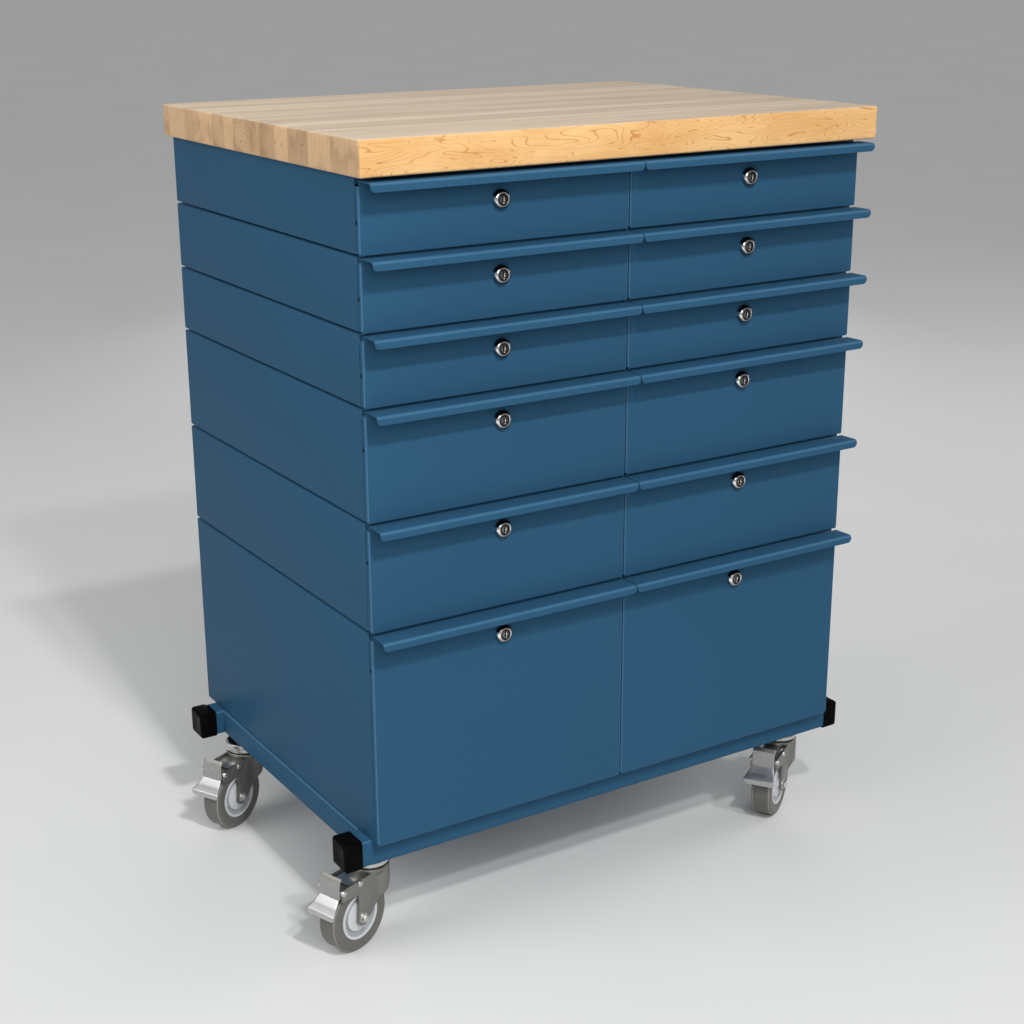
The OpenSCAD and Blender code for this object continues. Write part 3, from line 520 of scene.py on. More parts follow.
class Bench:
    """Modelling moves on one object at a time, as made by hand in edit mode."""

    @staticmethod
    def clear() -> None:
        """Leaves edit mode and deselects everything."""
        active = bpy.context.view_layer.objects.active
        if active is not None and active.mode != "OBJECT":
            bpy.ops.object.mode_set(mode="OBJECT")
        bpy.ops.object.select_all(action="DESELECT")

    @staticmethod
    def take(obj: Obj) -> None:
        """Makes one object the active one and the only one selected."""
        Bench.clear()
        obj.select_set(True)
        bpy.context.view_layer.objects.active = obj

    @staticmethod
    def edit(obj: Obj) -> None:
        """Enters edit mode on one object, with nothing selected."""
        Bench.take(obj)
        bpy.ops.object.mode_set(mode="EDIT")
        bpy.ops.mesh.select_mode(type="VERT")
        bpy.ops.mesh.select_all(action="DESELECT")

    @staticmethod
    def edit_all(obj: Obj) -> None:
        """Enters edit mode on one object, with everything selected."""
        Bench.edit(obj)
        bpy.ops.mesh.select_all(action="SELECT")

    @staticmethod
    def settle(obj: Obj, name: str) -> Obj:
        """Puts an object's place into its mesh and names it."""
        Bench.take(obj)
        bpy.ops.object.transform_apply(location=True, rotation=True, scale=True)
        obj.name = name
        obj.data.name = name
        return obj

    @staticmethod
    def cube(name: str, low: Sequence[float], high: Sequence[float]) -> Obj:
        """A box between two corners."""
        Bench.clear()
        low_corner = Vector(low)
        high_corner = Vector(high)
        bpy.ops.mesh.primitive_cube_add(size=1.0, location=(low_corner + high_corner) / 2)
        bpy.context.object.scale = high_corner - low_corner
        return Bench.settle(bpy.context.object, name)

    @staticmethod
    def prism(
        name: str,
        sides: int,
        radius: float,
        depth: float,
        place: Sequence[float],
        tip: float = QUARTER_TURN,
    ) -> Obj:
        """A prism or cylinder along Z, tipped about X, onto Y as a rule."""
        Bench.clear()
        bpy.ops.mesh.primitive_cylinder_add(
            vertices=sides, radius=radius, depth=depth, location=place, rotation=(tip, 0, 0)
        )
        return Bench.settle(bpy.context.object, name)

    @staticmethod
    def open_box(
        name: str, low: Sequence[float], high: Sequence[float], is_open: Test, bend: float, segments: int
    ) -> Obj:
        """A box with one side open and its folds rounded, left in edit mode.

        Args:
            name: its name.
            low: its lowest corner.
            high: its highest corner.
            is_open: whether the face with that middle is left out.
            bend: the folds' radius.
            segments: pieces of each fold.

        Returns:
            The box.
        """
        box = Bench.cube(name, low, high)
        Bench.edit(box)
        Bench.pick(box, "FACE", is_open)
        bpy.ops.mesh.delete(type="FACE")
        Bench.pick_edges(box, lambda edge: not edge.is_boundary)
        bpy.ops.mesh.bevel(offset=bend, segments=segments, affect="EDGES")
        return box

    @staticmethod
    def trace(name: str, points: Sequence[Sequence[float]], closed: bool = False) -> Obj:
        """Draws a line through points by extruding one vertex, and fills it if it is closed."""
        Bench.clear()
        bpy.ops.mesh.primitive_plane_add(size=0.01, location=points[0])
        obj = bpy.context.object
        bpy.ops.object.mode_set(mode="EDIT")
        bpy.ops.mesh.select_mode(type="VERT")
        bpy.ops.mesh.select_all(action="SELECT")
        bpy.ops.mesh.merge(type="CENTER")
        for before, after in zip(points, points[1:]):
            step = Vector(after) - Vector(before)
            bpy.ops.mesh.extrude_vertices_move(TRANSFORM_OT_translate={"value": step})
        if closed:
            bpy.ops.mesh.select_all(action="SELECT")
            bpy.ops.mesh.edge_face_add()
        return Bench.settle(obj, name)

    @staticmethod
    def pick(obj: Obj, mode: str, test: Test) -> None:
        """Selects vertices, edges by both ends or faces by their middle that pass a test, in edit mode."""
        bpy.ops.mesh.select_mode(type=mode)
        bpy.ops.mesh.select_all(action="DESELECT")
        mesh = bmesh.from_edit_mesh(obj.data)
        if mode == "VERT":
            for vertex in mesh.verts:
                vertex.select_set(test(vertex.co))
        elif mode == "EDGE":
            for edge in mesh.edges:
                edge.select_set(all(test(vertex.co) for vertex in edge.verts))
        else:
            for face in mesh.faces:
                face.select_set(test(face.calc_center_median()))
        mesh.select_flush_mode()
        bmesh.update_edit_mesh(obj.data)

    @staticmethod
    def pick_edges(obj: Obj, test: EdgeTest) -> None:
        """Selects the edges that pass a test of the whole edge, in edit mode."""
        bpy.ops.mesh.select_mode(type="EDGE")
        bpy.ops.mesh.select_all(action="DESELECT")
        mesh = bmesh.from_edit_mesh(obj.data)
        for edge in mesh.edges:
            if test(edge):
                edge.select_set(True)
        bmesh.update_edit_mesh(obj.data)

    @staticmethod
    def extrude(step: Sequence[float]) -> None:
        """Extrudes what is selected by a step."""
        bpy.ops.mesh.extrude_region_move(TRANSFORM_OT_translate={"value": tuple(step)})

    @staticmethod
    def draw_out(obj: Obj, step: Sequence[float]) -> Obj:
        """Extrudes a whole flat shape or line by a step."""
        Bench.edit_all(obj)
        Bench.extrude(step)
        bpy.ops.mesh.select_all(action="SELECT")
        bpy.ops.mesh.normals_make_consistent(inside=False)
        Bench.clear()
        return obj

    @staticmethod
    def turned(
        name: str,
        points: Sequence[Sequence[float]],
        center: Sequence[float],
        axis: Sequence[float],
        steps: int,
    ) -> Obj:
        """Spins a line through points all the way round an axis and closes the seam."""
        obj = Bench.trace(name, points)
        Bench.edit_all(obj)
        bpy.ops.mesh.spin(steps=steps, angle=FULL_TURN, center=center, axis=axis)
        bpy.ops.mesh.select_all(action="SELECT")
        bpy.ops.mesh.remove_doubles(threshold=TINY / 2)
        bpy.ops.mesh.normals_make_consistent(inside=False)
        Bench.clear()
        return obj

    @staticmethod
    def face_out(obj: Obj, near: Sequence[float], outward: Sequence[float]) -> None:
        """Turns an open sheet over if its face near a point doesn't look outward."""
        Bench.edit_all(obj)
        bpy.ops.mesh.normals_make_consistent(inside=False)
        Bench.clear()
        place = Vector(near)
        nearest = min(obj.data.polygons, key=lambda polygon: (polygon.center - place).length)
        if nearest.normal.dot(Vector(outward)) < 0:
            Bench.edit_all(obj)
            bpy.ops.mesh.flip_normals()
            Bench.clear()

    @staticmethod
    def modify(obj: Obj, kind: str, **settings: Any) -> Obj:
        """Adds a modifier and applies it."""
        Bench.take(obj)
        modifier = obj.modifiers.new(kind.lower(), kind)
        for name, value in settings.items():
            setattr(modifier, name, value)
        bpy.ops.object.modifier_apply(modifier=modifier.name)
        return obj

    @staticmethod
    def thicken(obj: Obj, thickness: float) -> Obj:
        """Gives an open sheet its thickness, away from its faces' normals."""
        return Bench.modify(obj, "SOLIDIFY", thickness=thickness, offset=-1.0, use_even_offset=True)

    @staticmethod
    def ease(obj: Obj, width: float, segments: int = 2, angle: float = 40.0) -> Obj:
        """Rounds every edge sharper than an angle."""
        return Bench.modify(
            obj,
            "BEVEL",
            width=width,
            segments=segments,
            limit_method="ANGLE",
            angle_limit=math.radians(angle),
            use_clamp_overlap=True,
        )

    @staticmethod
    def cut(obj: Obj, tool: Obj, operation: str = "DIFFERENCE") -> Obj:
        """Cuts an object with a tool, which is then thrown away."""
        Bench.modify(obj, "BOOLEAN", operation=operation, object=tool, solver="EXACT")
        bpy.data.objects.remove(tool)
        return obj

    @staticmethod
    def join(name: str, pieces: Sequence[Obj]) -> Obj:
        """Joins pieces into one object."""
        Bench.clear()
        for piece in pieces:
            piece.select_set(True)
        bpy.context.view_layer.objects.active = pieces[0]
        if len(pieces) > 1:
            bpy.ops.object.join()
        return Bench.settle(pieces[0], name)

    @staticmethod
    def smooth(obj: Obj, angle: float = 32.0) -> Obj:
        """Shades an object smooth over its shallow edges."""
        Bench.take(obj)
        bpy.ops.object.shade_smooth_by_angle(angle=math.radians(angle))
        return obj

    @staticmethod
    def copy(obj: Obj, name: str, place: Matrix) -> Obj:
        """Copies an object with a mesh of its own, put in place."""
        twin = obj.copy()
        twin.data = obj.data.copy()
        bpy.context.collection.objects.link(twin)
        twin.data.transform(place)
        twin.name = name
        twin.data.name = name
        return twin

    @staticmethod
    def discard(objects: Iterable[Obj]) -> None:
        """Removes patterns that have been copied."""
        for obj in list(objects):
            bpy.data.objects.remove(obj)

    @staticmethod
    def dress(
        obj: Obj, materials: Sequence[bpy.types.Material], choose: Callable[[Any], int] | None = None
    ) -> Obj:
        """Gives an object its materials.

        Args:
            obj: the object.
            materials: its materials in order.
            choose: picks the material's number for a polygon; all take the first without it.

        Returns:
            The object.
        """
        obj.data.materials.clear()
        for material in materials:
            obj.data.materials.append(material)
        for polygon in obj.data.polygons:
            polygon.material_index = choose(polygon) if choose else 0
        return obj


def install(obj: Obj, body: str, slot: Slot, *nodes: str) -> Obj:
    """Makes a finished piece ride on a body and hides the nodes that it stands for."""
    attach(obj, body)
    if nodes:
        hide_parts(*nodes)
    LOG.info("piece %s on %s, %d faces", obj.name, body, len(obj.data.polygons))
    return obj


def put(pattern: Obj, name: str, place: Matrix, body: str, slot: Slot, *nodes: str) -> Obj:
    """Copies a pattern into place and installs the copy."""
    return install(Bench.copy(pattern, name, place), body, slot, *nodes)


@dataclass
class Worktop:
    """The butcher-block top, glued up from staves along X."""

    finishes: Finishes
    edge_radius: float = 3.2 * MM
    corner_radius: float = 6 * MM
    glue_gap: float = 0.6 * MM
    glue_sink: float = 0.45 * MM
    glue_inset: float = 10 * MM
    stave_widths: tuple[int, ...] = (24, 62, 30, 66, 38, 32, 82, 46, 40, 56, 62, 72)
    stave_tones: tuple[float, ...] = (0.3, 0.62, 0.16, 0.78, 0.26, 0.7, 0.4, 0.08, 0.76, 0.02, 0.62, 0.3)

    def build(self) -> None:
        """Builds the staves, and the glue that shows between them."""
        low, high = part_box("worktop")
        scale = (high.y - low.y) / sum(self.stave_widths)
        back = high.y
        staves = []
        for number, (width, tone) in enumerate(zip(self.stave_widths, self.stave_tones)):
            front = back - width * scale
            staves.append(self._stave(number, low, high, front, back, tone))
            back = front
        block = Bench.join("worktop_staves", staves)
        Bench.smooth(block)
        Bench.dress(block, [self.finishes.maple])
        install(block, ROOT_BODY, Slot.MAPLE, "worktop")
        sink = Vector((self.glue_sink, self.glue_inset, self.glue_sink))
        core = Bench.cube("worktop_glue", low + sink, high - sink)
        Bench.ease(core, self.edge_radius, 4)
        Bench.dress(core, [self.finishes.glue])
        install(core, ROOT_BODY, Slot.MAPLE)

    def _stave(self, number: int, low: Vector, high: Vector, front: float, back: float, tone: float) -> Obj:
        """One stave with its outer edges eased.

        Args:
            number: its place, counted from the back.
            low: the block's lowest corner.
            high: the block's highest corner.
            front: the stave's front face.
            back: the stave's back face.
            tone: the number that sets its colour and grain.

        Returns:
            The stave.
        """
        is_front = abs(front - low.y) < TINY
        is_back = abs(back - high.y) < TINY
        y0 = front if is_front else front + self.glue_gap / 2
        y1 = back if is_back else back - self.glue_gap / 2
        stave = Bench.cube(f"stave_{number}", (low.x, y0, low.z), (high.x, y1, high.z))

        def middle(edge: bmesh.types.BMEdge) -> Vector:
            """The middle of an edge."""
            return (edge.verts[0].co + edge.verts[1].co) / 2

        def at_corner(edge: bmesh.types.BMEdge) -> bool:
            """Whether an edge is one of the block's four upright ones."""
            point = middle(edge)
            at_end = abs(point.x - low.x) < TINY or abs(point.x - high.x) < TINY
            return at_end and (abs(point.y - low.y) < TINY or abs(point.y - high.y) < TINY)

        def on_rim(edge: bmesh.types.BMEdge) -> bool:
            """Whether an edge lies round the block's top or bottom, away from the glued faces."""
            point = middle(edge)
            level = abs(edge.verts[0].co.z - edge.verts[1].co.z) < TINY
            at_rim = abs(point.z - low.z) < TINY or abs(point.z - high.z) < TINY
            glued_front = not is_front and abs(point.y - y0) < TINY
            glued_back = not is_back and abs(point.y - y1) < TINY
            return level and at_rim and not glued_front and not glued_back

        Bench.edit(stave)
        if is_front or is_back:
            Bench.pick_edges(stave, at_corner)
            bpy.ops.mesh.bevel(offset=self.corner_radius, segments=5, affect="EDGES")
        Bench.pick_edges(stave, on_rim)
        bpy.ops.mesh.bevel(offset=self.edge_radius, segments=4, affect="EDGES")
        Bench.clear()
        attribute = stave.data.attributes.new("stave", "FLOAT", "FACE")
        attribute.data.foreach_set("value", [tone] * len(stave.data.polygons))
        return stave


@dataclass
class Housings:
    """The tiers of drawer housings, each a folded sheet box for each stack."""

    finishes: Finishes
    sheet: float = 1.2 * MM
    bend: float = 2.2 * MM
    tier_gap: float = 2.5 * MM
    header: float = 10 * MM
    strip_width: float = 20 * MM
    strip_inset: float = 30 * MM

    def build(self) -> None:
        """Builds one piece for each tier."""
        for tier in range(1, TIERS + 1):
            node = f"housing_tier_{tier}"
            low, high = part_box(node)
            top = high.z if tier == 1 else high.z - self.tier_gap
            shells = []
            for side in Side:
                column = JOINTS[f"lock_{side.value}_{tier}_turn"]["pos_m"][0]
                half = max(abs(low.x), high.x) - abs(column)
                box_low = Vector((column - half, low.y, low.z))
                box_high = Vector((column + half, high.y, top))
                shells.append(self._shell(box_low, box_high))
                if tier > 1:
                    shells.extend(self._strips(box_low, box_high, high.z))
            piece = Bench.join(f"{node}_shells", shells)
            Bench.smooth(piece)
            # The sheet's front edge takes the brighter coat: a painted highlight.
            rim_y = low.y + self.sheet / 2
            Bench.dress(
                piece,
                [self.finishes.paint, self.finishes.bend_highlight_paint],
                lambda polygon: int(polygon.normal.y < -FACING and polygon.center.y < rim_y),
            )
            install(piece, ROOT_BODY, Slot.PAINT, node)

    def _shell(self, low: Vector, high: Vector) -> Obj:
        """One open-fronted box with rounded folds and a flange along its top front edge."""
        shell = Bench.open_box("shell", low, high, lambda point: point.y < low.y + TINY, self.bend, 3)
        Bench.pick(shell, "EDGE", lambda point: point.y < low.y + TINY and point.z > high.z - TINY)
        Bench.extrude((0, 0, -self.header))
        Bench.clear()
        Bench.face_out(shell, ((low.x + high.x) / 2, high.y, (low.z + high.z) / 2), (0, 1, 0))
        return Bench.thicken(shell, self.sheet)

    def _strips(self, low: Vector, high: Vector, tier_top: float) -> list[Obj]:
        """The two strips that carry the next tier."""
        strips = []
        for edge, inward in ((low.x, 1), (high.x, -1)):
            near = edge + inward * self.strip_inset
            far = near + inward * self.strip_width
            strips.append(
                Bench.cube(
                    "strip",
                    (min(near, far), low.y + self.strip_inset, high.z),
                    (max(near, far), high.y - self.strip_inset, tier_top),
                )
            )
        return strips


@dataclass
class Drawer:
    """One pattern of drawer, modelled round its lock's axis and copied to every drawer of its height."""

    finishes: Finishes
    low: Vector
    high: Vector
    slide_low: Vector
    slide_high: Vector
    sheet: float = 1.3 * MM
    fold_r: float = 1.6 * MM
    return_depth: float = 8.5 * MM
    relief_h: float = 48 * MM
    relief_depth: float = 0.9 * MM
    slot_h: float = 5 * MM
    slot_depth: float = 4 * MM
    side_grow: float = 0.6 * MM
    corner_cut: float = 3 * MM
    bend_r: float = 3.2 * MM
    lip_h: float = 11.2 * MM
    skirt: float = 1.5 * MM
    lip_corner: float = 6.4 * MM
    handle_root: float = 6 * MM
    barrel_r: float = 9.6 * MM
    drill_depth: float = 20 * MM
    tray_sheet: float = 1.0 * MM
    tray_bend: float = 1.5 * MM
    tray_side: float = 13.5 * MM
    tray_floor: float = 4.7 * MM
    tray_top: float = 13.7 * MM
    hem_in: float = 2.2 * MM
    hem_h: float = 8 * MM
    slide_sheet: float = 1.2 * MM
    slide_web: float = 9.3 * MM
    slide_step: float = 1.5 * MM
    slide_gap: float = 0.1 * MM

    def front(self) -> Obj:
        """The folded front with its handle; the drawer's face is the plane Y = 0."""
        t = self.sheet
        x0 = self.low.x + self.fold_r - self.side_grow
        width = self.high.x - self.low.x - 2 * (self.fold_r - self.side_grow)
        z0, z1 = self.low.z - self.skirt, self.high.z
        lip_y = self.low.y
        notch_top = z1 - self.relief_h
        section = outline(
            [
                Bend(self.return_depth, z0),
                Bend(0, z0, self.fold_r),
                Bend(0, z0 + self.corner_cut),
                Bend(0, notch_top - self.slot_h),
                Bend(0, notch_top),
                Bend(0, z1 - t - self.handle_root),
                Bend(0, z1 - t, self.fold_r),
                Bend(lip_y + t, z1 - t, self.bend_r),
                Bend(lip_y + t, z1 - self.lip_h),
            ]
        )
        front = Bench.trace("front", [(x0, y, z) for y, z in section])
        Bench.draw_out(front, (width, 0, 0))
        self._fold_sides(front, x0, x0 + width, notch_top)
        self._round_lip(front, x0, x0 + width)
        Bench.face_out(front, (0, 0, (z0 + z1) / 2), (0, -1, 0))
        Bench.thicken(front, t)
        return self._bore(front)

    def _fold_sides(self, front: Obj, x0: float, x1: float, notch_top: float) -> None:
        """Folds the face's two upright edges back, less deep along the top, with a slot between."""
        lower_end = self.low.z - self.skirt + self.corner_cut - TINY
        upper_end = self.high.z - self.sheet - self.handle_root + TINY
        shallow = self.return_depth - self.slot_depth
        stretches = (
            (lower_end, notch_top - self.slot_h + TINY, self.return_depth),
            (notch_top - TINY, upper_end, self.return_depth - self.relief_depth),
        )
        for x, turn in ((x0, 1), (x1, -1)):
            Bench.edit(front)
            Bench.pick(
                front,
                "EDGE",
                lambda point: abs(point.x - x) < TINY
                and abs(point.y) < TINY
                and lower_end < point.z < upper_end,
            )
            bpy.ops.mesh.spin(
                steps=3, angle=turn * QUARTER_TURN, center=(x, self.fold_r, 0), axis=(0, 0, 1)
            )
            Bench.extrude((0, shallow - self.fold_r, 0))
            for lowest, highest, depth in stretches:
                Bench.pick(
                    front,
                    "EDGE",
                    lambda point: abs(point.x - x) < 2 * self.fold_r
                    and abs(point.y - shallow) < TINY
                    and lowest < point.z < highest,
                )
                Bench.extrude((0, depth - shallow, 0))
            Bench.clear()

    def _round_lip(self, front: Obj, x0: float, x1: float) -> None:
        """Widens the handle to the whole front and rounds the lip's lower corners."""
        handle_y = -self.fold_r - TINY
        Bench.edit(front)
        for x, step in ((x0, -self.fold_r), (x1, self.fold_r)):
            Bench.pick(front, "VERT", lambda point: abs(point.x - x) < TINY and point.y < handle_y)
            bpy.ops.transform.translate(value=(step, 0, 0))
        lip_end = self.high.z - self.lip_h + TINY
        Bench.pick(front, "VERT", lambda point: point.y < handle_y and point.z < lip_end)
        bpy.ops.mesh.bevel(offset=self.lip_corner, segments=6, affect="VERTICES")
        Bench.clear()

    def _bore(self, sheet: Obj) -> Obj:
        """Cuts the hole for the lock's barrel."""
        drill = Bench.prism("drill", 40, self.barrel_r, self.drill_depth, (0, 0, 0))
        return Bench.cut(sheet, drill)

    def tray(self) -> Obj:
        """The open tray, with folded hems round its top."""
        low = Vector((self.low.x + self.tray_side, self.sheet, self.low.z + self.tray_floor))
        high = Vector((self.high.x - self.tray_side, self.high.y, self.high.z - self.tray_top))

        def at_top(point: Vector) -> bool:
            """Whether a point lies in the tray's open top."""
            return point.z > high.z - TINY

        tray = Bench.open_box("tray", low, high, at_top, self.tray_bend, 2)
        Bench.pick(tray, "EDGE", at_top)
        size = high - low
        Bench.extrude((0, 0, 0))
        bpy.ops.transform.resize(
            value=(1 - 2 * self.hem_in / size.x, 1 - 2 * self.hem_in / size.y, 1),
            center_override=(low + high) / 2,
        )
        Bench.extrude((0, 0, -self.hem_h))
        Bench.clear()
        Bench.face_out(tray, ((low.x + high.x) / 2, (low.y + high.y) / 2, low.z), (0, 0, -1))
        Bench.thicken(tray, self.tray_sheet)
        return self._bore(tray)

    def slides(self) -> Obj:
        """The two slide members that are fixed to the tray."""
        members = []
        half = (self.slide_high.z - self.slide_low.z) / 2 - self.slide_step
        middle = (self.slide_high.z + self.slide_low.z) / 2
        length = self.slide_high.y - self.slide_low.y
        for side in (-1, 1):
            web = side * (self.high.x - self.tray_side + self.slide_gap)
            tip = web + side * self.slide_web
            section = outline(
                [
                    Bend(tip, middle - half),
                    Bend(web, middle - half, self.slide_step),
                    Bend(web, middle + half, self.slide_step),
                    Bend(tip, middle + half),
                ],
                3,
            )
            member = Bench.trace("slide", [(x, self.slide_low.y, z) for x, z in section])
            Bench.draw_out(member, (0, length, 0))
            Bench.face_out(member, (web, (self.slide_low.y + self.slide_high.y) / 2, middle), (-side, 0, 0))
            members.append(Bench.thicken(member, self.slide_sheet))
        return Bench.join("slides", members)

    def patterns(self) -> dict[str, Obj]:
        """Models and dresses the three pieces of the pattern."""
        pieces = {"front": self.front(), "tray": self.tray(), "slides": self.slides()}
        for name, piece in pieces.items():
            Bench.smooth(piece)
            Bench.dress(piece, [self.finishes.slide_zinc if name == "slides" else self.finishes.paint])
        Bench.dress(pieces["front"], [self.finishes.paint, self.finishes.bend_highlight_paint], self._front_part)
        return pieces

    def _front_part(self, polygon: Any) -> int:
        """Which coat a face of the front has: the brighter copy, a painted highlight, goes on the outside
        of the folds and the handle's bend.
        """
        center = polygon.center
        normal = polygon.normal
        bend_y = self.low.y + self.sheet + self.bend_r
        in_bend = center.y < bend_y and center.z > self.high.z - 1.6 * self.bend_r
        slanted = normal.y < -0.25 and normal.z > 0.25
        in_fold = abs(center.y) < self.fold_r and normal.y < -0.20
        turned = max(abs(normal.x), -normal.z) > 0.20
        return int((in_bend and slanted) or (in_fold and turned))


@dataclass
class Lock:
    """The pattern of a drawer lock, modelled with its axis on Y and the drawer's face at Y = 0."""

    finishes: Finishes
    bezel_r: float = 12.4 * MM
    dome_h: float = 7.6 * MM
    dome_steps: int = 8
    rim_h: float = 1.6 * MM
    crest_r: float = 8.1 * MM
    groove_r: float = 7.1 * MM
    bore_r: float = 6.1 * MM
    barrel_r: float = 9.5 * MM
    barrel_back: float = 11.8 * MM
    groove: float = 2.2 * MM
    nut_r: float = 13.5 * MM
    nut_h: float = 4 * MM
    nut_back: float = 2.6 * MM
    plug_r: float = 5.9 * MM
    plug_face: float = 6.3 * MM
    key_w: float = 1.7 * MM
    key_h: float = 7 * MM
    cam_front: float = 12.2 * MM
    cam_t: float = 2 * MM
    cam_l: float = 33.3 * MM
    cam_w: float = 12 * MM
    cam_hub: float = 8 * MM

    @staticmethod
    def _round(name: str, profile: Sequence[tuple[float, float]], steps: int) -> Obj:
        """A turned piece on the lock's axis, from radii and places along Y."""
        return Bench.turned(name, [(r, y, 0) for r, y in profile], (0, 0, 0), (0, 1, 0), steps)

    def barrel(self) -> Obj:
        """The barrel with its domed bezel, and the nut behind the drawer's front."""
        rise = self.dome_h - self.rim_h
        run = self.bezel_r - self.crest_r
        angles = [step * QUARTER_TURN / self.dome_steps for step in range(self.dome_steps + 1)]
        dome = [(self.crest_r + run * math.cos(a), -self.rim_h - rise * math.sin(a)) for a in angles]
        profile = [
            (self.bore_r, self.barrel_back),
            (self.barrel_r, self.barrel_back),
            (self.barrel_r, -0.1 * MM),
            (self.bezel_r, -0.1 * MM),
            *dome,
            (self.groove_r + 0.3 * MM, -self.dome_h + 0.3 * MM),
            (self.groove_r, -self.dome_h + 0.9 * MM),
            (self.groove_r, -self.dome_h + self.groove),
            (self.bore_r, -self.dome_h + self.groove),
            (self.bore_r, self.barrel_back),
        ]
        barrel = self._round("barrel", profile, 48)
        nut_place = (0, self.nut_back + self.nut_h / 2, 0)
        nut = Bench.prism("nut", 6, self.nut_r, self.nut_h, nut_place)
        Bench.ease(nut, 0.5 * MM)
        return Bench.smooth(Bench.join("barrel", [barrel, nut]))

    def plug(self) -> Obj:
        """The turning plug with its key slot, and two bright bits on its face that are painted glints."""
        face = -self.plug_face
        profile = outline(
            [
                Bend(0, self.cam_front - 0.1 * MM),
                Bend(self.plug_r, self.cam_front - 0.1 * MM),
                Bend(self.plug_r, face, 0.5 * MM),
                Bend(self.plug_r * 0.68, face),
                Bend(self.plug_r * 0.62, face + 0.7 * MM),
                Bend(0, face + 0.5 * MM),
            ],
            3,
        )
        plug = self._round("plug", profile, 40)
        slot = Bench.cube(
            "slot",
            (-self.key_w / 2, face - 1 * MM, -self.key_h / 2),
            (self.key_w / 2, face + 4 * MM, self.key_h / 2),
        )
        Bench.cut(plug, slot)
        Bench.dress(
            plug, [self.finishes.plug, self.finishes.dark, self.finishes.keyway], self._plug_part
        )
        pieces = [plug]
        # Two small bright bits on the plug's face stand for glints: painted highlights.
        glint_bits = (("glint_bar", 0.95, 2.5, -2.5, 2.5, 0.4), ("stop", 0.1, 2.3, -5.5, -3.7, 0.5))
        for name, x0, x1, z0, z1, easing in glint_bits:
            low = (x0 * MM, face - 0.2 * MM, z0 * MM)
            high = (x1 * MM, face + 1.2 * MM, z1 * MM)
            bit = Bench.ease(Bench.cube(name, low, high), easing * MM)
            pieces.append(Bench.dress(bit, [self.finishes.glint]))
        return Bench.smooth(Bench.join("plug", pieces))

    def cam(self) -> Obj:
        """The cam on the plug's tail, lying level towards +X, and its screw."""
        half = self.cam_w / 2
        hub = self.cam_hub
        shape = outline(
            [
                Bend(-hub, -hub * 0.8, 3 * MM),
                Bend(hub * 0.6, -hub * 0.8, 3 * MM),
                Bend(hub, -half, 3 * MM),
                Bend(self.cam_l, -half, 2.5 * MM),
                Bend(self.cam_l, half, 2.5 * MM),
                Bend(hub, half, 3 * MM),
                Bend(hub * 0.6, hub * 0.8, 3 * MM),
                Bend(-hub, hub * 0.8, 3 * MM),
            ],
            3,
            closed=True,
        )
        cam = Bench.trace("cam", [(x, self.cam_front, z) for x, z in shape], closed=True)
        Bench.draw_out(cam, (0, self.cam_t, 0))
        Bench.ease(cam, 0.3 * MM)
        head_r = 4 * MM
        head_h = 3 * MM
        back = self.cam_front + self.cam_t
        head = post(head_r, back, back + head_h, 1 * MM)
        screw = self._round("screw", outline(head, 3), 24)
        return Bench.smooth(Bench.join("cam", [cam, screw]))

    def patterns(self) -> dict[str, Obj]:
        """Models and dresses the lock's pieces."""
        pieces = {"barrel": self.barrel(), "plug": self.plug(), "cam": self.cam()}
        # The groove's inner faces take the near-black: painted shade in the recess.
        Bench.dress(
            pieces["barrel"],
            [self.finishes.chrome, self.finishes.dark],
            lambda polygon: int(
                polygon.center.y < -self.dome_h + self.groove + TINY
                and polygon.center.xz.length < self.groove_r + TINY
            ),
        )
        Bench.dress(pieces["cam"], [self.finishes.zinc])
        return pieces

    def _plug_part(self, polygon: Any) -> int:
        """Which part of the plug a face belongs to: the plug, its key slot in painted shade, or the keyway
        round it.
        """
        center = polygon.center
        in_slot = abs(center.x) < self.key_w / 2 + TINY and abs(center.z) < self.key_h / 2 + TINY
        slot_floor = -self.plug_face + 3.5 * MM
        # The key slot takes the near-black: painted shade in the slot.
        if in_slot and (abs(polygon.normal.y) < 0.5 or center.y > slot_floor) and center.y < 0:
            return 1
        on_face = polygon.normal.y < -0.5 and center.y < 0
        return 2 if on_face and center.xz.length < self.plug_r * 0.64 else 0


@dataclass
class DrawerStacks:
    """All the drawers with their locks, copied from one pattern for each height."""

    finishes: Finishes

    def build(self) -> None:
        """Models each pattern once and copies it to its drawers."""
        lock = Lock(self.finishes).patterns()
        patterns: dict[int, dict[str, Obj]] = {}
        for tier in range(1, TIERS + 1):
            for side in Side:
                key = f"{side.value}_{tier}"
                place = Vector(JOINTS[f"lock_{key}_turn"]["pos_m"])
                low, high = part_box(f"drawer_{key}")
                slide_low, slide_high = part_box(f"slide_mid_{key}")
                height = round((high.z - low.z) / MM)
                if height not in patterns:
                    drawer = Drawer(
                        self.finishes, low - place, high - place, slide_low - place, slide_high - place
                    )
                    patterns[height] = drawer.patterns()
                self._install(key, Matrix.Translation(place), patterns[height], lock)
        for pattern in (*patterns.values(), lock):
            Bench.discard(pattern.values())

    def _install(self, key: str, place: Matrix, drawer: dict[str, Obj], lock: dict[str, Obj]) -> None:
        """Puts one drawer's pieces and its lock in place."""
        body = f"drawer_{key}"
        lock_body = f"lock_{key}"
        put(drawer["front"], f"{body}_front", place, body, Slot.PAINT, body)
        put(drawer["tray"], f"{body}_tray", place, body, Slot.PAINT)
        put(drawer["slides"], f"{body}_slides", place, body, Slot.ZINC)
        put(lock["barrel"], f"{lock_body}_barrel", place, body, Slot.CHROME)
        put(lock["plug"], f"{lock_body}_plug", place, lock_body, Slot.CHROME, f"lock_plug_{key}")
        put(lock["cam"], f"{lock_body}_cam", place, lock_body, Slot.ZINC)


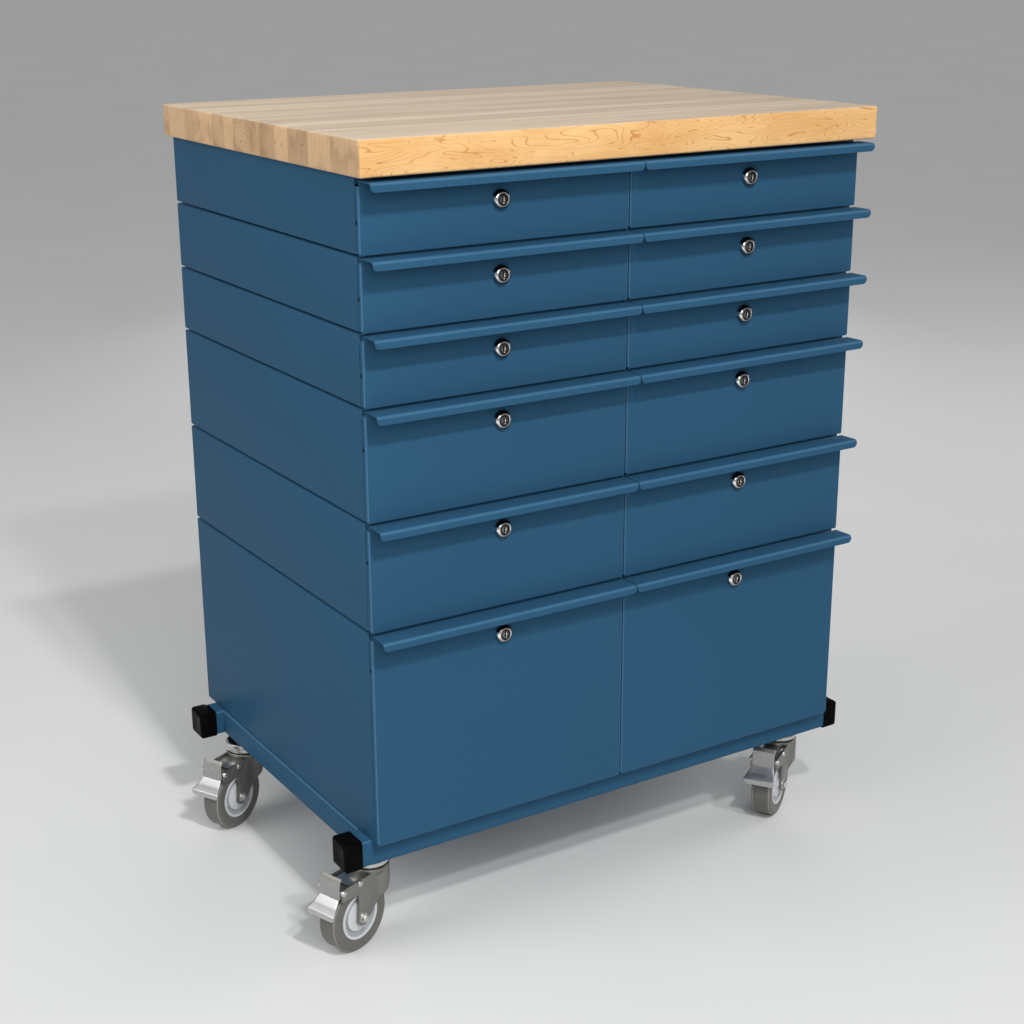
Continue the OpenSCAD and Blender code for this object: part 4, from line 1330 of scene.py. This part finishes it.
@dataclass
class Base:
    """The tube base: two cross tubes, two side rails and four slip-on caps."""

    finishes: Finishes
    rail_width: float = 52.2 * MM
    rail_proud: float = 2.2 * MM
    tube_wall: float = 2.5 * MM
    tube_bend: float = 3.5 * MM
    tube_hollow: float = 30 * MM
    cap_grip: float = 23.5 * MM
    cap_bend: float = 4.5 * MM
    cap_wall: float = 1.7 * MM
    cap_rim: float = 3 * MM
    cap_dish: float = 0.5 * MM

    def build(self) -> None:
        """Builds the frame and the caps."""
        low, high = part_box("base_frame")
        size = high.z - low.z
        rail_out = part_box(f"housing_tier_{TIERS}")[1].x + self.rail_proud
        tubes = []
        for y0 in (low.y, high.y - size):
            tubes.append(self._tube((low.x, y0, low.z), (high.x, y0 + size, high.z), 0))
        for x0 in (-rail_out, rail_out - self.rail_width):
            tubes.append(
                self._tube((x0, low.y + size, low.z), (x0 + self.rail_width, high.y - size, high.z), 1)
            )
        piece = Bench.join("base_tubes", tubes)
        Bench.smooth(piece)
        # The tubes' rounded upper corners take the brighter coat: a painted highlight.
        Bench.dress(
            piece,
            [self.finishes.paint, self.finishes.bend_highlight_paint],
            lambda polygon: int(0.20 < polygon.normal.z < 0.97),
        )
        install(piece, ROOT_BODY, Slot.PAINT, "base_frame")
        self._caps(high.x, (low.y + size / 2, high.y - size / 2), (low.z + high.z) / 2)

    def _tube(self, low: Sequence[float], high: Sequence[float], along: int) -> Obj:
        """One square tube with rounded corners and hollow ends, along X (0) or Y (1)."""
        tube = Bench.cube("tube", low, high)
        Bench.edit(tube)
        Bench.pick_edges(tube, lambda edge: abs(edge.verts[1].co[along] - edge.verts[0].co[along]) > TINY)
        bpy.ops.mesh.bevel(offset=self.tube_bend, segments=4, affect="EDGES")
        ends = (low[along] + TINY, high[along] - TINY)
        for end, inward in zip(ends, (1, -1)):
            Bench.pick(tube, "FACE", lambda point: inward * (point[along] - end) < 0)
            bpy.ops.mesh.inset(thickness=self.tube_wall)
            step = [0.0, 0.0, 0.0]
            step[along] = inward * self.tube_hollow
            Bench.extrude(step)
        Bench.clear()
        return tube

    def _caps(self, tube_end: float, tube_ys: tuple[float, float], tube_z: float) -> None:
        """The four caps, modelled once on the right rear end and turned to the others."""
        low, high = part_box("tube_end_caps")
        front_y, tube_y = tube_ys
        half = high.z - tube_z
        x0 = tube_end - self.cap_grip
        cap_low = (x0, tube_y - half, low.z)
        cap_high = (high.x, tube_y + half, high.z)
        cap = Bench.open_box("cap", cap_low, cap_high, lambda point: point.x < x0 + TINY, self.cap_bend, 5)
        Bench.pick(cap, "FACE", lambda point: point.x > high.x - TINY)
        bpy.ops.mesh.inset(thickness=self.cap_rim)
        bpy.ops.mesh.inset(thickness=self.cap_rim, depth=-self.cap_dish)
        Bench.clear()
        Bench.face_out(cap, (high.x, tube_y, tube_z), (1, 0, 0))
        Bench.thicken(cap, self.cap_wall)
        Bench.ease(cap, 0.4 * MM, 2, 60)
        Bench.smooth(cap, 50)
        Bench.dress(cap, [self.finishes.vinyl])
        about = Matrix.Rotation(math.pi, 4, "Z")
        places = {
            "rear_right": Matrix.Identity(4),
            "front_right": Matrix.Translation((0, front_y - tube_y, 0)),
            "rear_left": about @ Matrix.Translation((0, -2 * tube_y, 0)),
            "front_left": about @ Matrix.Translation((0, -front_y - tube_y, 0)),
        }
        for number, (name, place) in enumerate(places.items()):
            nodes = () if number else ("tube_end_caps",)
            put(cap, f"end_cap_{name}", place, ROOT_BODY, Slot.VINYL, *nodes)
        Bench.discard([cap])


@dataclass
class Caster:
    """The pattern of a braked swivel caster: the kingpin is the Z axis and the wheel trails towards -X."""

    finishes: Finishes
    axle_x: float = -36 * MM
    axle_z: float = 51 * MM
    wheel_r: float = 51 * MM
    tread_half: float = 16 * MM
    hub_r: float = 34 * MM
    recess_out: float = 30 * MM
    recess_in: float = 22.5 * MM
    pin_r: float = 5.95 * MM
    bore_r: float = 6.1 * MM
    leg_y: float = 20 * MM
    sheet: float = 3 * MM
    boss_r: float = 11.5 * MM
    crown_z: float = 113 * MM
    crown_r: float = 29 * MM
    race_r: float = 28.5 * MM
    upper_race_z: float = 118.8 * MM
    rim_z: float = 132 * MM
    rail_z: float = 144 * MM
    arm_r: float = 9.5 * MM
    arm_drop: float = 4 * MM
    arm_past: float = 3.2 * MM
    web_back: float = -56 * MM
    web_front: float = -18 * MM
    web_drop: float = 4.4 * MM
    web_sheet: float = 2 * MM
    tool_half: float = 40 * MM
    pivot_x: float = -73 * MM
    pivot_z: float = 105 * MM
    rivet_x: float = -41 * MM
    rivet_z: float = 106 * MM
    pedal_half: float = 17.9 * MM
    foot_half: float = 25 * MM
    pedal_sheet: float = 1.5 * MM
    nut_r: float = 6.2 * MM
    nut_h: float = 4.4 * MM
    nut_out: float = 3.1 * MM
    stud_r: float = 3.9 * MM
    stud_out: float = 6 * MM
    lip_start: float = 16 * MM
    foot_start: float = -8.6 * MM

    def _ring(self, name: str, bends: Sequence[Bend], steps: int = 56) -> Obj:
        """A turned ring round the kingpin, from an outline of radius and height."""
        points = [(r, 0, z) for r, z in outline(bends, 4)]
        return Bench.turned(name, points, (0, 0, 0), (0, 0, 1), steps)

    def _cross_turned(
        self, name: str, profile: Sequence[tuple[float, float]], x: float, z: float, steps: int
    ) -> Obj:
        """A turned piece on an axis along Y through x and z, from radii and places along Y."""
        points = [(x + r, y, z) for r, y in profile]
        return Bench.turned(name, points, (x, 0, z), (0, 1, 0), steps)

    def mount(self) -> Obj:
        """The fixed upper race, an open cup with a fine groove round it, and the kingpin's nut."""
        z0 = self.upper_race_z
        z1 = self.rail_z
        rim = self.rim_z
        seam = (z0 + rim) / 2
        race = self._ring(
            "race",
            [
                Bend(self.bore_r, z0),
                Bend(self.race_r, z0, 1.6 * MM),
                Bend(self.race_r, seam - 0.7 * MM),
                Bend(self.race_r - 0.8 * MM, seam),
                Bend(self.race_r, seam + 0.7 * MM),
                Bend(self.race_r, rim, 1 * MM),
                Bend(self.race_r - 3 * MM, rim, 1 * MM),
                Bend(self.race_r - 4 * MM, z0 + 3 * MM, 2 * MM),
                Bend(14 * MM, z0 + 3 * MM, 2 * MM),
                Bend(14 * MM, z1),
                Bend(self.bore_r, z1),
                Bend(self.bore_r, z0),
            ],
        )
        # The cup's hollow inside takes the darker fork zinc: painted shade in the recess.
        inside_r = self.race_r - 2 * MM
        Bench.dress(
            race,
            [self.finishes.zinc, self.finishes.fork_zinc],
            lambda polygon: int(polygon.center.xy.length < inside_r),
        )
        nut_h = 5.8 * MM
        nut_top = self.crown_z - 0.4 * MM
        nut_low = nut_top - nut_h
        pin = self._ring("pin", post(self.pin_r, nut_low, z1), 32)
        nut = Bench.prism("nut", 6, 10.4 * MM, nut_h, (0, 0, nut_top - nut_h / 2), 0.0)
        Bench.ease(nut, 0.8 * MM)
        for piece in (pin, nut):
            Bench.dress(piece, [self.finishes.zinc])
        return Bench.smooth(Bench.join("mount", [race, pin, nut]))

    def _wall(self) -> Obj:
        """The pressed wall of the fork: two flat legs that swell out and meet round the front."""
        leg = self.leg_y
        back = self.pivot_x - 14 * MM
        front_r = self.crown_r - self.sheet / 2 - 0.5 * MM
        swell = ((-11.0, 0.0), (-8.0, 0.25), (-4.0, 1.5), (0.0, 3.4), (4.0, 5.2))
        near = [(back, -leg)] + [(x * MM, -leg - out * MM) for x, out in swell]
        arc_start = math.radians(74)
        arc_steps = 12
        angles = [arc_start * (2 * step / arc_steps - 1) for step in range(arc_steps + 1)]
        arc = [(front_r * math.cos(angle), front_r * math.sin(angle)) for angle in angles]
        plan = near + arc + [(x, -y) for x, y in reversed(near)]
        low = self.axle_z - self.boss_r - 5 * MM
        high = self.crown_z + self.sheet
        wall = Bench.trace("wall", [(x, y, low) for x, y in plan])
        Bench.draw_out(wall, (0, 0, high - low))
        Bench.face_out(wall, (back / 2, leg, self.axle_z), (0, 1, 0))
        Bench.modify(wall, "SOLIDIFY", thickness=self.sheet, offset=0.0, use_even_offset=True)
        return wall

    def _side(self) -> list[tuple[float, float]]:
        """The fork's outline seen from the side: leg, arm back to the pedal and the rising front edge."""
        arm_x = self.pivot_x + 0.5 * MM
        arm_z = self.pivot_z - self.arm_drop

        def arc(x: float, z: float, radius: float, degrees: range) -> list[tuple[float, float]]:
            """Points on an arc round x and z."""
            angles = [math.radians(degree) for degree in degrees]
            return [(x + radius * math.cos(angle), z + radius * math.sin(angle)) for angle in angles]

        brow = ((40, 117), (40, 88), (24, 87.5), (18, 86), (12, 82.5), (6, 77.6), (0, 72), (-10, 62.6))
        points = [(x * MM, z * MM) for x, z in brow]
        points += arc(self.axle_x, self.axle_z, self.boss_r, range(-42, -190, -12))
        points += outline(
            [
                Bend(self.axle_x - 8.2 * MM, self.axle_z + 20 * MM),
                Bend(self.axle_x - 7.6 * MM, self.pivot_z - 16 * MM, 4.5 * MM),
                Bend(self.axle_x - 18 * MM, self.pivot_z - 14.5 * MM),
            ]
        )
        points += arc(arm_x, arm_z, self.arm_r, range(-90, -271, -15))
        points.append((-15 * MM, arm_z + self.arm_r + 0.4 * MM))
        return points + [(-11 * MM, 113 * MM), (-8 * MM, 117 * MM)]

    def fork(self) -> Obj:
        """The pressed fork with its dished crown, lower race, axle bolt and rivets."""
        wall = self._wall()
        tool = Bench.trace("tool", [(x, -self.tool_half, z) for x, z in self._side()], closed=True)
        Bench.draw_out(tool, (0, 2 * self.tool_half, 0))
        Bench.cut(wall, tool, "INTERSECT")
        Bench.edit_all(wall)
        arm_end = (self.pivot_x - self.arm_past, 0, 0)
        bpy.ops.mesh.bisect(plane_co=arm_end, plane_no=(1, 0, 0), use_fill=True, clear_inner=True)
        Bench.clear()
        Bench.ease(wall, 0.6 * MM, 2, 50)
        z0 = self.crown_z
        top = z0 + self.sheet
        crown = self._ring(
            "crown",
            [
                Bend(self.bore_r, z0),
                Bend(self.crown_r - 5 * MM, z0, 3 * MM),
                Bend(self.crown_r - 8 * MM, z0 - 9 * MM),
                Bend(self.crown_r - 5.4 * MM, z0 - 9 * MM, 0.8 * MM),
                Bend(self.crown_r - 0.8 * MM, z0 - 1 * MM, 5 * MM),
                Bend(self.crown_r - 1.4 * MM, top, 2 * MM),
                Bend(self.race_r - 4.5 * MM, top),
                Bend(self.race_r - 4.5 * MM, top + 2.4 * MM),
                Bend(self.bore_r, top + 2.4 * MM),
                Bend(self.bore_r, z0),
            ],
        )
        # The legs' inner faces take the brighter zinc against the fork's darker outside: a painted
        # highlight where light falls into the fork.
        inside = self.leg_y - 0.5 * MM
        Bench.dress(
            wall,
            [self.finishes.fork_zinc, self.finishes.zinc],
            lambda polygon: int(abs(polygon.normal.y) > FACING and abs(polygon.center.y) < inside),
        )
        Bench.dress(crown, [self.finishes.fork_zinc])
        web_half = self.leg_y - self.sheet / 2 - 3.5 * MM
        web_top = self.crown_z - self.web_drop
        web_low = (self.web_back, -web_half, web_top - self.web_sheet)
        web = Bench.cube("web", web_low, (self.web_front, web_half, web_top))
        Bench.ease(web, 0.6 * MM)
        # The web takes the brighter zinc too: a painted highlight.
        Bench.dress(web, [self.finishes.zinc])
        parts = [wall, crown, web]
        for sign in (-1, 1):
            ends = self._bolt_ends(sign)
            for piece in ends:
                Bench.dress(piece, [self.finishes.zinc])
            parts += ends
        return Bench.smooth(Bench.join("fork", parts))

    def _bolt_ends(self, sign: int) -> list[Obj]:
        """The axle's washer and nut and the two rivets on one leg."""
        outer = self.leg_y + self.sheet / 2
        parts = []
        spots = (
            (self.axle_x, self.axle_z, 7.4 * MM, 1.0 * MM, 28),
            (self.pivot_x, self.pivot_z, 4.6 * MM, 2.6 * MM, 24),
            (self.rivet_x, self.rivet_z, 4.4 * MM, 2.2 * MM, 24),
        )
        for x, z, radius, height, sides in spots:
            rounding = min(radius, height) * 0.9
            head = post(radius, sign * (outer - 2 * MM), sign * (outer + height), rounding)
            parts.append(self._cross_turned("button", outline(head, 4), x, z, sides))
        nut_place = (self.axle_x, sign * (outer + self.nut_out), self.axle_z)
        nut = Bench.prism("nut", 6, self.nut_r, self.nut_h, nut_place)
        Bench.ease(nut, 0.9 * MM, 3)
        end = post(self.stud_r, sign * outer, sign * (outer + self.stud_out), 1.4 * MM)
        stud = self._cross_turned("stud", outline(end, 3), self.axle_x, self.axle_z, 24)
        return parts + [nut, stud]

    def wheel(self) -> Obj:
        """The rubber tyre on its stepped hub."""
        r = self.wheel_r
        w = self.tread_half
        hub = self.hub_r
        half = [
            Bend(r, 0),
            Bend(r, w - 3.6 * MM),
            Bend(r + 0.25 * MM, w - 3.2 * MM),
            Bend(r - 0.2 * MM, w - 2.4 * MM),
            Bend(r - 1.6 * MM, w - 1.0 * MM, 1 * MM),
            Bend(r - 4.6 * MM, w, 2 * MM),
            Bend(r - 9 * MM, w - 0.2 * MM),
            Bend(r - 9.6 * MM, w - 0.8 * MM),
            Bend(hub + 1.2 * MM, w - 1.2 * MM),
            Bend(hub, w - 2.2 * MM),
            Bend(hub - 0.2 * MM, w - 0.6 * MM, 0.6 * MM),
            Bend(self.recess_out, w - 0.8 * MM, 1 * MM),
            Bend(self.recess_out - 1.4 * MM, w - 5.5 * MM, 1 * MM),
            Bend(self.recess_in + 1.4 * MM, w - 6.5 * MM, 1 * MM),
            Bend(self.recess_in, w - 2.8 * MM, 1.2 * MM),
            Bend(13 * MM, w - 1.2 * MM, 2 * MM),
            Bend(10 * MM, w - 1.2 * MM),
            Bend(10 * MM, w + 1.6 * MM),
            Bend(5.1 * MM, w + 1.6 * MM),
            Bend(5.1 * MM, 0),
        ]
        near = outline(half, 3)
        far = [(radius, -y) for radius, y in reversed(near[:-1])]
        wheel = self._cross_turned("wheel", near + far, self.axle_x, self.axle_z, 96)
        return Bench.smooth(wheel, 28)

    def pedal(self) -> Obj:
        """The stamped brake pedal: leaning lip, flat plate with cheeks, and flared foot."""
        line = outline(
            [
                Bend(-0.9 * MM, 21 * MM),
                Bend(-4.1 * MM, 15.6 * MM, 1.2 * MM),
                Bend(-5.5 * MM, 4 * MM),
                Bend(-7.2 * MM, self.foot_start, 2 * MM),
                Bend(-16.2 * MM, -17.5 * MM, 30 * MM),
                Bend(-25.4 * MM, -24.6 * MM, 4.2 * MM),
                Bend(-26.2 * MM, -28.0 * MM),
                Bend(-26.0 * MM, -29.8 * MM),
                Bend(-25.6 * MM, -31.4 * MM),
                Bend(-25.2 * MM, -32.5 * MM),
                Bend(-25.0 * MM, -33.0 * MM),
            ],
            4,
        )
        columns = 14
        step = 2 * self.pedal_half / columns
        plate = Bench.trace(
            "pedal", [(self.pivot_x + x, -self.pedal_half, self.pivot_z + z) for x, z in line]
        )
        Bench.edit_all(plate)
        for _ in range(columns):
            Bench.extrude((0, step, 0))
        self._cheeks(plate)
        self._flare(plate)
        Bench.clear()
        Bench.face_out(plate, (self.pivot_x - 6 * MM, 0, self.pivot_z), (-1, 0, 0))
        Bench.thicken(plate, self.pedal_sheet)
        Bench.ease(plate, 0.45 * MM, 2, 50)
        dot = self._dot()
        shoe_y = self.pedal_half - 3.5 * MM
        shoe_line = ((-4.3, -10.4), (-6.6, -14.2), (-3.0, -17.0), (0.5, -13.0), (1.0, -8.0))
        shoe = Bench.trace(
            "shoe",
            [(self.pivot_x + x * MM, -shoe_y, self.pivot_z + z * MM) for x, z in shoe_line],
            closed=True,
        )
        Bench.draw_out(shoe, (0, 2 * shoe_y, 0))
        Bench.ease(shoe, 0.8 * MM)
        # One pressed sheet in three tones of zinc: the foot and the dot in the brighter one are a painted
        # highlight, the lip in the fork's darker zinc is painted shade.
        Bench.dress(
            plate,
            [self.finishes.pedal_zinc, self.finishes.foot_highlight_zinc, self.finishes.fork_zinc],
            self._pedal_part,
        )
        Bench.dress(dot, [self.finishes.foot_highlight_zinc])
        Bench.dress(shoe, [self.finishes.shoe])
        return Bench.smooth(Bench.join("pedal", [plate, dot, shoe]), 40)

    def _dot(self) -> Obj:
        """The small pimple pressed into the pedal's plate."""
        x = self.pivot_x - 5.0 * MM
        z = self.pivot_z + 8 * MM
        line = outline(post(1.5 * MM, -1 * MM, 0.7 * MM, 0.6 * MM), 3)
        return Bench.turned("dot", [(x - out, 0, z + r) for r, out in line], (x, 0, z), (1, 0, 0), 16)

    def _flare(self, plate: Obj) -> None:
        """Widens the foot row by row, slowly at first, so that its sides are hollow curves."""
        Bench.edit(plate)
        mesh = bmesh.from_edit_mesh(plate.data)
        flare_start = self.pivot_z - 9 * MM
        flare_end = self.pivot_z - 24.5 * MM
        tip = self.pivot_z - 33 * MM
        corner = 6 * MM
        for vertex in mesh.verts:
            share = min(max((flare_start - vertex.co.z) / (flare_start - flare_end), 0.0), 1.0)
            vertex.co.y *= 1 + share ** 1.2 * (self.foot_half / self.pedal_half - 1)
            over = min(max((tip + corner - vertex.co.z) / corner, 0.0), 1.0)
            vertex.co.y *= 1 - corner * (1 - math.sqrt(1 - over * over)) / self.foot_half
        bmesh.update_edit_mesh(plate.data)
        Bench.clear()

    def _cheeks(self, plate: Obj) -> None:
        """Folds the plate's two sides back between the fork's arms."""
        low_end = self.pivot_z - 8 * MM
        high_end = self.pivot_z + 15 * MM
        for sign in (-1, 1):
            edge_y = sign * self.pedal_half
            Bench.edit(plate)
            Bench.pick(
                plate,
                "EDGE",
                lambda point: abs(point.y - edge_y) < 0.1 * MM and low_end < point.z < high_end,
            )
            Bench.extrude((1.0 * MM, sign * 0.4 * MM, 0))
            Bench.extrude((4.5 * MM, 0, 0))
            Bench.extrude((3.5 * MM, 0, 0))
            bpy.ops.transform.resize(
                value=(1, 1, 0.6), center_override=(self.pivot_x, edge_y, self.pivot_z)
            )
        Bench.clear()

    def patterns(self) -> dict[str, Obj]:
        """Models and dresses the caster's pieces."""
        pieces = {"mount": self.mount(), "fork": self.fork(), "wheel": self.wheel(), "pedal": self.pedal()}
        Bench.dress(
            pieces["wheel"],
            [self.finishes.tyre, self.finishes.tyre_line_highlight, self.finishes.hub, self.finishes.hub_recess_shade],
            self._wheel_part,
        )
        return pieces

    def _pedal_part(self, polygon: Any) -> int:
        """Which part of the pedal a face belongs to: the plate, the foot in a brighter zinc that is a
        painted highlight, or the lip in a darker zinc that is painted shade.
        """
        height = polygon.center.z - self.pivot_z
        if height > self.lip_start:
            return 2
        return 1 if height < self.foot_start else 0

    def _wheel_part(self, polygon: Any) -> int:
        """Which part of the wheel a face belongs to: tyre, mould line in a painted highlight, hub, or the
        hub's recess in painted shade.
        """
        spoke = Vector((polygon.center.x - self.axle_x, polygon.center.z - self.axle_z))
        radius = spoke.length
        depth = abs(polygon.center.y)
        if radius > self.hub_r + 0.1 * MM:
            on_line = self.tread_half - 3.7 * MM < depth < self.tread_half - 2.2 * MM
            return 1 if on_line and radius > self.wheel_r - 0.8 * MM else 0
        in_recess = depth < self.tread_half - 3.2 * MM and radius > self.recess_in - 0.5 * MM
        return 3 if in_recess else 2


@dataclass
class Casters:
    """The four casters, copied from one pattern and turned as they stand."""

    finishes: Finishes
    moving: tuple[tuple[str, str, Slot, str], ...] = (
        ("fork", "caster", Slot.ZINC, "caster_fork"),
        ("wheel", "wheel", Slot.RUBBER, "caster_wheel"),
        ("pedal", "brake", Slot.ZINC, "brake_pedal"),
    )

    def build(self) -> None:
        """Copies the pattern to each corner."""
        pieces = Caster(self.finishes).patterns()
        for number, corner in enumerate(Corner):
            name = corner.value
            kingpin = Vector(JOINTS[f"caster_{name}_swivel"]["pos_m"])
            axle = Vector(JOINTS[f"wheel_{name}_roll"]["pos_m"])
            trail = kingpin.xy - axle.xy
            turn = math.atan2(trail.y, trail.x)
            place = Matrix.Translation((kingpin.x, kingpin.y, 0)) @ Matrix.Rotation(turn, 4, "Z")
            mount_nodes = () if number else ("caster_mounts",)
            put(pieces["mount"], f"caster_mount_{name}_race", place, ROOT_BODY, Slot.ZINC, *mount_nodes)
            for kind, body, slot, node in self.moving:
                put(pieces[kind], f"caster_{name}_{kind}", place, f"{body}_{name}", slot, f"{node}_{name}")
        Bench.discard(pieces.values())


@dataclass
class PlainNodes:
    """The frame's own nodes that stay as they are and only take a finish."""

    finishes: Finishes

    def dress(self) -> None:
        """Gives the fixed and middle slide members and the hidden fasteners their plating."""
        for name, node in frame["nodes"].items():
            if name.startswith("slide_") or name == "frame_fasteners":
                Bench.dress(node, [self.finishes.slide_zinc])


@dataclass(frozen=True)
class Panel:
    """One soft light panel, with the angle that its light spreads over."""

    name: str
    place: tuple[float, float, float]
    aim: tuple[float, float, float]
    size: tuple[float, float]
    power: float
    spread: float = 180.0

    def hang(self) -> None:
        """Hangs the panel in the scene."""
        lamp = bpy.data.lights.new(self.name, "AREA")
        lamp.shape = "RECTANGLE"
        lamp.size, lamp.size_y = self.size
        lamp.energy = self.power
        lamp.spread = math.radians(self.spread)
        panel = bpy.data.objects.new(self.name, lamp)
        bpy.context.scene.collection.objects.link(panel)
        panel.location = self.place
        toward = Vector(self.aim) - Vector(self.place)
        panel.rotation_euler = toward.to_track_quat("-Z", "Y").to_euler()


@dataclass
class Studio:
    """The floor, the light and the camera."""

    camera_place: tuple[float, float, float] = (-1.3271, -2.1121, 1.3115)
    camera_turn: tuple[float, float, float] = (71.981, 0.232, -32.257)
    lens: float = 60.37
    sensor: float = 36.0
    floor_color: Color = (0.74, 0.74, 0.73)
    floor_size: float = 120.0
    sky_stops: tuple[tuple[float, Color], ...] = ((0.35, (0.55, 0.55, 0.55)), (0.85, (0.60, 0.61, 0.63)))
    sky_strength: float = 0.55
    sun_strength: float = 0.58
    sun_angle: float = 3.0
    sun_elevation: float = 46.0
    panels: tuple[Panel, ...] = (
        Panel("key", (-0.6, -2.37, 2.9), (-1.2, 0, 0.7), (0.17, 0.17), 37.0),
        Panel("fill_left", (-3.2, 0.2, 2.3), (0, 0, 0.6), (2.2, 1.8), 42.0),
        Panel("fill_right", (4.5, -0.5, 2.0), (0, 0, 0.6), (2.4, 2.4), 40.0),
        Panel("fill_back", (2.4, 3.8, 0.55), (0, 0, 0.55), (2.4, 0.9), 9.0, 70.0),
        Panel("fill_front", (-1.2, -2.9, 2.1), (-1.0, 0, 0.7), (1.6, 1.2), 34.0),
    )

    def build(self) -> None:
        """Builds the stage."""
        self._floor()
        self._sky()
        self._lights()
        self._camera()
        bpy.context.scene.view_settings.view_transform = "Standard"

    def _floor(self) -> None:
        """A plain pale floor."""
        Bench.clear()
        bpy.ops.mesh.primitive_plane_add(size=self.floor_size)
        floor = bpy.context.object
        floor.name = "floor"
        shader = Shader("pale_floor")
        cloud = shader.noise(shader.point(), 1.5, 4.0)
        color = shader.shade(self.floor_color, 0.96 + 0.08 * cloud)
        material = shader.finish(Base_Color=color, Roughness=0.85, Specular_IOR_Level=0.1)
        floor.data.materials.append(material)

    def _sky(self) -> None:
        """Soft light from all round, brighter above."""
        world = bpy.data.worlds.new("soft_sky")
        bpy.context.scene.world = world
        world.use_nodes = True
        nodes = world.node_tree.nodes
        links = world.node_tree.links
        coords = nodes.new("ShaderNodeTexCoord")
        split = nodes.new("ShaderNodeSeparateXYZ")
        ramp = nodes.new("ShaderNodeValToRGB")
        for stop, (height, color) in zip(ramp.color_ramp.elements, self.sky_stops):
            stop.position = height
            stop.color = (*color, 1.0)
        links.new(coords.outputs["Generated"], split.inputs[0])
        links.new(split.outputs["Z"], ramp.inputs[0])
        links.new(ramp.outputs[0], nodes["Background"].inputs[0])
        nodes["Background"].inputs[1].default_value = self.sky_strength

    def _lights(self) -> None:
        """A weak sun and a small high panel, which throw the handles' shadows, and broad soft panels."""
        beam = bpy.data.lights.new("sun", "SUN")
        beam.energy = self.sun_strength
        beam.angle = math.radians(self.sun_angle)
        sun = bpy.data.objects.new("sun", beam)
        bpy.context.scene.collection.objects.link(sun)
        sun.rotation_euler = (math.radians(90 - self.sun_elevation), 0, 0)
        for panel in self.panels:
            panel.hang()

    def _camera(self) -> None:
        """The camera at the photograph's view."""
        lens = bpy.data.cameras.new("view")
        lens.lens = self.lens
        lens.sensor_width = self.sensor
        lens.sensor_fit = "HORIZONTAL"
        lens.clip_end = 300.0
        camera = bpy.data.objects.new("view", lens)
        bpy.context.scene.collection.objects.link(camera)
        camera.location = self.camera_place
        camera.rotation_euler = tuple(math.radians(angle) for angle in self.camera_turn)
        bpy.context.scene.camera = camera


def main() -> None:
    """Builds the stage and every sub-assembly, in order."""
    logging.basicConfig(level=logging.INFO, format="%(asctime)s %(name)s: %(message)s")
    finishes = Finishes()
    Studio().build()
    Worktop(finishes).build()
    Housings(finishes).build()
    DrawerStacks(finishes).build()
    Base(finishes).build()
    Casters(finishes).build()
    PlainNodes(finishes).dress()
    Bench.clear()


if __name__ == "__main__":
    main()
